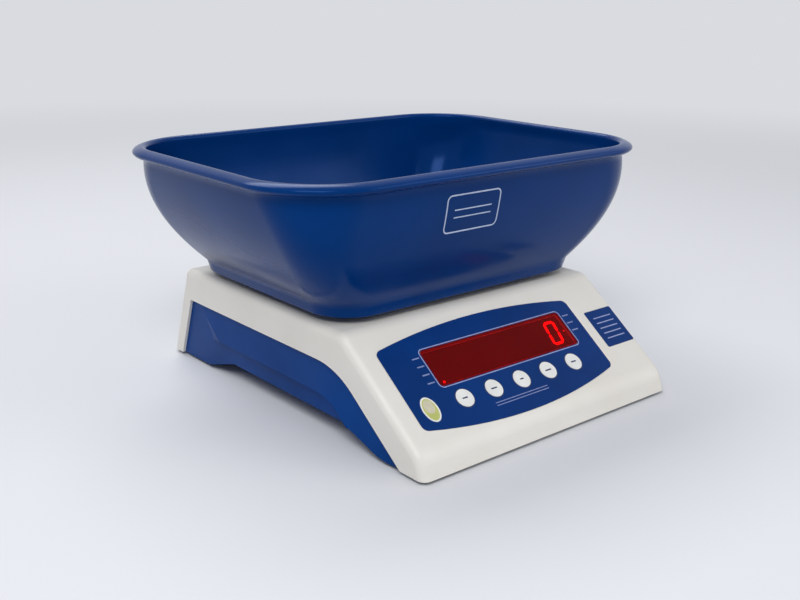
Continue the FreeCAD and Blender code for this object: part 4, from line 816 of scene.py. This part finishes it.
# %% Geometry Nodes tree for the bowl
def bowl_tree():
    inputs = dict.fromkeys((*BOWL_INPUTS, *SHARES), "Float")
    inputs.update({"Corner Points": "Int", "Material": "Material"})
    tree, given = start_tree("moulded_bowl", inputs)
    around = add_node(tree, "ShaderNodeMath", {0: given["Corner Points"], 1: 4},
                      operation="MULTIPLY").outputs[0]
    known = {socket.name: socket for socket in given if socket.name}
    known["around"] = around
    known["index"] = add_node(tree, "GeometryNodeInputIndex").outputs["Index"]

    def work_out(table):
        for name, operation, first, second in table:
            known[name] = add_node(tree, "ShaderNodeMath", {
                0: known.get(first, first), 1: known.get(second, second)},
                operation=operation).outputs[0]

    work_out(RULE)
    first_row = 0
    for stage, rows in STAGES:
        known[stage] = add_node(tree, "ShaderNodeMapRange", {
            "Value": known["row"], "From Min": first_row,
            "From Max": first_row + rows}).outputs["Result"]
        first_row += rows
    for table in (SHAPE, EDGES, PLACES):
        work_out(table)
    tube = add_node(tree, "GeometryNodeMeshCylinder", {
        "Vertices": around, "Side Segments": BOWL_ROWS, "Radius": 1.0, "Depth": 1.0})
    spot = add_node(tree, "ShaderNodeCombineXYZ", {
        "X": known["x"], "Y": known["y"], "Z": known["z"]})
    shaped = add_node(tree, "GeometryNodeSetPosition", {
        "Geometry": tube.outputs["Mesh"], "Position": spot.outputs["Vector"]})
    turned = add_node(tree, "GeometryNodeFlipFaces", {"Mesh": shaped.outputs["Geometry"]})
    smooth = add_node(tree, "GeometryNodeSetShadeSmooth", {"Geometry": turned.outputs["Mesh"]})
    painted = add_node(tree, "GeometryNodeSetMaterial", {
        "Geometry": smooth.outputs["Geometry"], "Material": given["Material"]})
    add_node(tree, "NodeGroupOutput", {"Geometry": painted.outputs["Geometry"]})
    return tree


settings = {name: size * MM for name, size in BOWL_INPUTS.items()}
settings.update(SHARES, Material=bowl_blue)
settings["Corner Points"] = 16
bowl = grow("moulded_bowl", bowl_tree(), settings, Matrix(), "bowl")
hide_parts("bowl")
bowl_volume = sum(face.area * face.center.dot(face.normal) for face in bowl.data.polygons) / 3
print("bowl material in cubic centimetres:", round(bowl_volume / MM ** 3 / 1000))
for axis, (near, far) in zip("XYZ", zip(*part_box("bowl"))):
    spans = [vertex.co["XYZ".index(axis)] for vertex in bowl.data.vertices]
    print(axis, "bowl", round(min(spans) / MM, 2), round(max(spans) / MM, 2), "solid",
          round(near / MM, 2), round(far / MM, 2))

# %% [markdown]
# The front wall of the bowl carries a printed badge, an outline round two plain rules. The wall
# is slightly curved from foot to rim, so each printed point is pushed onto it along the depth:
# the wall's rule gives that depth for any height.

# %% Badge on the bowl's front wall
WALL_LOW = (BOWL_INPUTS["Underside"] + BOWL_INPUTS["Foot Tall"]) * MM
WALL_TALL = BOWL_INPUTS["Side Tall"] * MM


def front_wall(height):
    """Depth of the front wall's outer face at a height."""
    rise = (height - WALL_LOW) / WALL_TALL
    spread = SHARES["Lean"] * rise + (1 - SHARES["Lean"]) * (1 - (1 - rise) ** SHARES["Curve"])
    base = BOWL_INPUTS["Foot Y"] + BOWL_INPUTS["Draft"]
    return (BOWL_INPUTS["Middle Y"] - base - (BOWL_INPUTS["Wall Y"] - base) * spread) * MM


def upright(across, height):
    """Placement of an upright sheet that faces the front, at depth zero."""
    return Matrix.Translation((across, 0, height)) @ Matrix.Rotation(math.pi / 2, 4, "X")


BADGE = (-28 * MM, WALL_LOW + 71 * MM)
BADGE_RULE_STEP = 6.5 * MM
for name, tree, settings in (
        ("badge_line", FRAME_LINE, {"Width": 60 * MM, "Height": 32 * MM, "Corner": FRAME_CORNER,
                                    "Line": 1.3 * MM, "Thickness": INK_THICK,
                                    "Corner Steps": 8, "Side Cuts": 12}),
        ("badge_rules", BAR_ROW, {"Count": 2, "Step": (0, BADGE_RULE_STEP, 0),
                                  "Bar Size": (42 * MM, 1.0 * MM, INK_THICK)})):
    lower = BADGE_RULE_STEP / 2 if tree is BAR_ROW else 0
    print_piece = grow(name, tree, dict(settings, Material=ink_badge),
                       upright(BADGE[0], BADGE[1] - lower), "bowl")
    for vertex in print_piece.data.vertices:
        vertex.co.y += front_wall(vertex.co.z)
    print_piece.data.update()

# %% [markdown]
# The floor is plain pale paper. Near the scale it is an ordinary matt surface that takes the
# shadow. Further out it fades into an even pale tone, which the world shows above the horizon
# as well, so that no edge of the floor is seen from any side. The fade goes by the distance from
# the middle of the floor.

# %% Floor and pale surroundings
PALE = "#d9dbe0"
FLOOR = 40.0
FADE_START, FADE_END = 0.7, 2.6
floor_mesh = bpy.data.meshes.new("studio_floor")
floor_mesh.from_pydata([(-FLOOR, -FLOOR, 0), (FLOOR, -FLOOR, 0), (FLOOR, FLOOR, 0),
                        (-FLOOR, FLOOR, 0)], [], [(0, 1, 2, 3)])
floor = bpy.data.objects.new("studio_floor", floor_mesh)
bpy.context.scene.collection.objects.link(floor)
floor_paper, tree, shader, place = start_material("pale_studio_paper", "#dddfe3", 0.9)
grain(tree, shader, place, 5, 0.05, 0.3)


def seen_directly(tree):
    """1 for rays of the camera, of a mirror-like face or through glass, 0 for the light itself."""
    path = add_node(tree, "ShaderNodeLightPath").outputs
    either = add_node(tree, "ShaderNodeMath", {
        0: path["Is Camera Ray"], 1: path["Is Glossy Ray"]}, operation="MAXIMUM")
    return add_node(tree, "ShaderNodeMath", {
        0: either.outputs[0], 1: path["Is Transmission Ray"]}, operation="MAXIMUM").outputs[0]


away = add_node(tree, "ShaderNodeVectorMath", {0: place}, operation="LENGTH").outputs["Value"]
fade = add_node(tree, "ShaderNodeMapRange", {
    "Value": away, "From Min": FADE_START, "From Max": FADE_END}, interpolation_type="SMOOTHSTEP")
shown = add_node(tree, "ShaderNodeMath", {0: fade.outputs["Result"], 1: seen_directly(tree)},
                 operation="MULTIPLY")
glow = add_node(tree, "ShaderNodeEmission", {"Color": hex_color(PALE), "Strength": 1.0})
mixed = add_node(tree, "ShaderNodeMixShader", {
    "Fac": shown.outputs[0], 1: shader.outputs["BSDF"], 2: glow.outputs["Emission"]})
target = next(node for node in tree.nodes if node.type == "OUTPUT_MATERIAL")
tree.links.new(mixed.outputs["Shader"], target.inputs["Surface"])
floor_mesh.materials.append(floor_paper)
print("floor reaches", FLOOR, "m each way")

# %% [markdown]
# Three large soft boxes light the scale: the strongest from the upper left in front, a weaker
# one from the right and one from behind for the deck and the rim.


# %% Soft boxes and the world
def soft_box(name, spot, aim, size, power):
    """Large area lamp at a spot, turned to a point."""
    lamp = bpy.data.lights.new(name, "AREA")
    lamp.shape = "RECTANGLE"
    lamp.size, lamp.size_y = size
    lamp.energy = power
    made = bpy.data.objects.new(name, lamp)
    made.location = spot
    made.rotation_mode = "QUATERNION"
    made.rotation_quaternion = (Vector(aim) - Vector(spot)).to_track_quat("-Z", "Y")
    bpy.context.scene.collection.objects.link(made)
    print(name, "gives", power, "watts")


AIM = (0, 0, 0.1)
WORLD_LIGHT = 0.42
soft_box("key_box", (-1.2, -1.0, 1.7), AIM, (1.2, 1.0), 27)
soft_box("fill_box", (1.3, -1.5, 1.0), AIM, (1.2, 1.0), 9)
soft_box("back_box", (0.1, 1.3, 1.9), AIM, (2.0, 0.9), 23)
world = bpy.data.worlds.new("studio")
bpy.context.scene.world = world
world.use_nodes = True
tree = world.node_tree
tree.nodes.clear()
lighting = add_node(tree, "ShaderNodeBackground", {
    "Color": hex_color("#e6e8ee"), "Strength": WORLD_LIGHT})
surround = add_node(tree, "ShaderNodeBackground", {"Color": hex_color(PALE), "Strength": 1.0})
choice = add_node(tree, "ShaderNodeMixShader", {
    "Fac": seen_directly(tree), 1: lighting.outputs["Background"],
    2: surround.outputs["Background"]})
add_node(tree, "ShaderNodeOutputWorld", {"Surface": choice.outputs["Shader"]})
print("world lights at", WORLD_LIGHT, "and shows as", PALE)

# %% [markdown]
# The camera was found by fitting the housing's edges to the picture this scale was built from:
# where it stood, where it looked and how long its lens was.

# %% Camera
PHOTO_WIDE, PHOTO_TALL = 800, 600
FOCAL_PX = 1014.8
AXIS_PX = (396.29, 314.16)
EYE = Vector((-605.74, -699.05, 360.11)) * MM
YAW, PITCH, ROLL = (math.radians(angle) for angle in (40.164, 18.112, 0.566))
forward = Vector((math.sin(YAW) * math.cos(PITCH), math.cos(YAW) * math.cos(PITCH),
                  -math.sin(PITCH)))
level_right = Vector((math.cos(YAW), -math.sin(YAW), 0))
level_up = level_right.cross(forward)
right = level_right * math.cos(ROLL) + level_up * math.sin(ROLL)
up = level_up * math.cos(ROLL) - level_right * math.sin(ROLL)
lens = bpy.data.cameras.new("photo_camera")
lens.sensor_width = 36
lens.lens = FOCAL_PX * lens.sensor_width / PHOTO_WIDE
lens.shift_x = (PHOTO_WIDE / 2 - AXIS_PX[0]) / PHOTO_WIDE
lens.shift_y = (AXIS_PX[1] - PHOTO_TALL / 2) / PHOTO_WIDE
lens.clip_start, lens.clip_end = 0.01, 50
camera = bpy.data.objects.new("photo_camera", lens)
camera.matrix_world = Matrix.Translation(EYE) @ Matrix((right, up, -forward)).transposed().to_4x4()
bpy.context.scene.collection.objects.link(camera)
bpy.context.scene.camera = camera
bpy.context.scene.view_settings.view_transform = "Standard"
print("camera stands at", [round(part / MM) for part in EYE], "mm, lens", round(lens.lens, 1), "mm")
